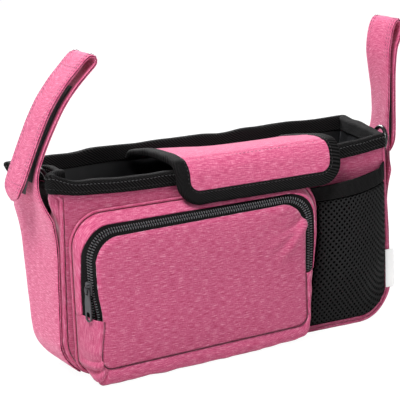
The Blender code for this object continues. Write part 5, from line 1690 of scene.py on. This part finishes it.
for label, sign, free, hangs in (("left", -1, LEFT_STRAP, False), ("right", 1, RIGHT_STRAP, True)):
    strap = Strap(label, sign, free, hangs)
    # Both strap layers wear the brighter copy of the cloth, as painted light on their lit faces.
    face = strap.layer("strap_face_layer", LAYER_LIFT, 0.0, STRAP_LAYER, LIT_PINK, 0.0004)
    back = strap.layer("strap_back_layer", -LAYER_LIFT, 0.0, STRAP_LAYER, LIT_PINK, 0.0004)
    core = strap.layer("strap_core_layer", 0.0, 0.0006, STRAP_LAYER, core_finish, 0.0)
    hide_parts(f"{label}_strap")
    seam_lift = STRAP_THICKNESS / 2 + 0.0001
    inner_lift = -seam_lift - 0.0004
    first = strap.route.where(lambda p: p.y >= STITCHES_FROM)
    rows = []
    for lift, start, stop in (
        (seam_lift, first, strap.route.length - 0.008),
        (inner_lift, strap.inner_end - 0.03, strap.route.length - 0.010),
    ):
        for end, inward in ((0, 0.0022), (0, 0.0058), (1, 0.0022), (1, 0.0058)):
            rows.append(strap.edge_row(end, inward, lift, start, stop))
    rows += [strap.cross_row(level, inner_lift) for level in CROSS_ROWS]
    copies_along(f"{label}_strap_stitches", rows, 0.0034, stitch_shape(0.0022, 0.00022), PLUM_THREAD)
    tape_lift = STRAP_THICKNESS / 2 + SEAM_GAP + HOOK_THICKNESS / 2
    hook_end = strap.route.length - HOOK_FROM_TIP
    loop_start = strap.route.where(lambda p: p.y >= LOOP_LOW)
    loop_end = strap.route.where(lambda p: p.y >= LOOP_HIGH)
    for node, start, stop, finish in (
        ("loop_tape", loop_start, loop_end, LOOPS),
        ("hook_tape", hook_end - HOOK_LENGTH, hook_end, HOOKS),
    ):
        skew = TIP_SKEW if (label, node) == ("left", "hook_tape") else 0.0
        tape = cloth(
            f"{label}_{node}_cloth",
            lambda u, v: strap.point(
                mix(start, stop, v), (u - 0.5) * HOOK_WIDTH - skew * v**3, tape_lift + 0.0004),
            20, 60, HOOK_THICKNESS, finish, out=sign,
        )
        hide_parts(f"{label}_{node}")


# D-rings and their tabs.
# Glossy black plastic rings that stand on their straight bars, each held by a short black webbing tab
# folded round the bar and sewn to the side, under the strap.
RING_ROD, RING_WIDTH, RING_HEIGHT, RING_CORNER = 0.0020, 0.034, 0.022, 0.003
TAB_WIDTH, TAB_THICKNESS, TAB_DROP, TAB_RISE, TAB_LAP, TAB_TURN, TAB_GAP = (
    0.022, 0.0012, 0.012, 0.010, 0.0075, 230.0, 0.0016
)
RING_LEVEL = 0.152

plastic = Shader("glossy_black_plastic", 0.22)
plastic.fix(Base_Color=(0.006, 0.006, 0.0065, 1.0))
ripple = plastic.noise(plastic.object_map((260.0, 260.0, 260.0)), 2.0)
plastic.link(plastic.ramp(ripple, [(0.3, (0.16, 0.16, 0.16)), (0.75, (0.34, 0.34, 0.34))]), "Roughness")
webbing = twill("black_webbing", pitch=0.0016, angle=math.radians(90))


def side_frame(sign, y):
    """A frame on the side wall's outer face: X outwards, Z up along the wall."""

    def surface(y, z):
        return settle((sign * half_width(z), y, z))

    step = 0.004
    middle = surface(y, RING_LEVEL)
    up_wall = (surface(y, RING_LEVEL + step) - surface(y, RING_LEVEL - step)).normalized()
    level = (surface(y + step, RING_LEVEL) - surface(y - step, RING_LEVEL)).normalized()
    out = level.cross(up_wall).normalized() * (1 if sign > 0 else -1)
    return Matrix.Translation(middle) @ Matrix((out, up_wall.cross(out), up_wall)).transposed().to_4x4()


for label, sign, y, lean_angle in (("left", -1, 0.004, 30.0), ("right", 1, -0.020, 10.0)):
    place = side_frame(sign, y)
    face_gap = TAB_GAP + TAB_THICKNESS / 2
    turn = RING_ROD + SEAM_GAP + TAB_THICKNESS / 2
    bar_x = face_gap + turn
    tab = [Vector((face_gap, -TAB_DROP)), Vector((face_gap, TAB_RISE / 2))]
    for step in range(17):
        angle = math.radians(180 - TAB_TURN * step / 16)
        tab.append(Vector((bar_x + turn * math.cos(angle), TAB_RISE + turn * math.sin(angle))))
    doubled = face_gap + TAB_THICKNESS + SEAM_GAP
    tab += [Vector((doubled, TAB_RISE - TAB_LAP)), Vector((doubled, -TAB_DROP))]
    tab_route = Route(tab)

    def tab_point(u, v):
        spot = tab_route.at(u * tab_route.length)
        return place @ Vector((spot.x, (v - 0.5) * TAB_WIDTH, spot.y))

    tab_cloth = cloth(f"{label}_ring_tab_webbing", tab_point, 90, 24, TAB_THICKNESS, webbing)
    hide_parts(f"{label}_ring_tab")
    half, height, bend = RING_WIDTH / 2 - RING_ROD, RING_HEIGHT - 2 * RING_ROD, RING_CORNER
    ring_points = [Vector((0.0, mix(-1, 1, k / 12) * (half - bend), 0.0)) for k in range(13)]
    ring_points.append(Vector((0.0, half - bend * 0.3, bend * 0.3)))
    ring_points += [
        Vector((0.0, half * math.cos(math.pi * k / 40), bend + (height - bend) * math.sin(math.pi * k / 40)))
        for k in range(41)
    ]
    ring_points.append(Vector((0.0, -(half - bend * 0.3), bend * 0.3)))
    lean = Matrix.Rotation(math.radians(lean_angle), 4, "Y")
    ring_frame = place @ Matrix.Translation((bar_x, 0.0, TAB_RISE)) @ lean
    across = (ring_frame.to_3x3() @ Vector((1.0, 0.0, 0.0))).normalized()
    ring_points = [ring_frame @ p for p in ring_points]
    ring = tube(
        f"{label}_d_ring_plastic", ring_points, RING_ROD, plastic.made, f"{label}_ring",
        closed=True, sides=20, ups=[across] * len(ring_points),
    )
    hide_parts(f"{label}_d_ring")


# Side label.
# A small bare white woven tag, folded double and sewn into the right front seam.
LABEL_LEFT, LABEL_WIDTH, LABEL_LOW, LABEL_LENGTH, LABEL_THICKNESS = 0.1634, 0.0085, 0.030, 0.037, 0.0005
satin = Shader("white_woven_tag", 0.55)
satin.fix(Base_Color=(0.86, 0.86, 0.85, 1.0), Sheen_Weight=0.3)
satin.bump(satin.weave(9000.0), 0.00006, 0.5)


def label_point(u, v):
    curl = 0.0012 * u * u * math.cos(2.2 * (v - 0.4)) - 0.0004 * math.sin(5 * v) * u
    y = FRONT_Y - SEAM_GAP - LABEL_THICKNESS / 2 - curl
    return Vector((LABEL_LEFT + u * LABEL_WIDTH, y, LABEL_LOW + v * LABEL_LENGTH))


tag = cloth("side_label_tag", label_point, 16, 40, LABEL_THICKNESS, satin.made)
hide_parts("side_label")
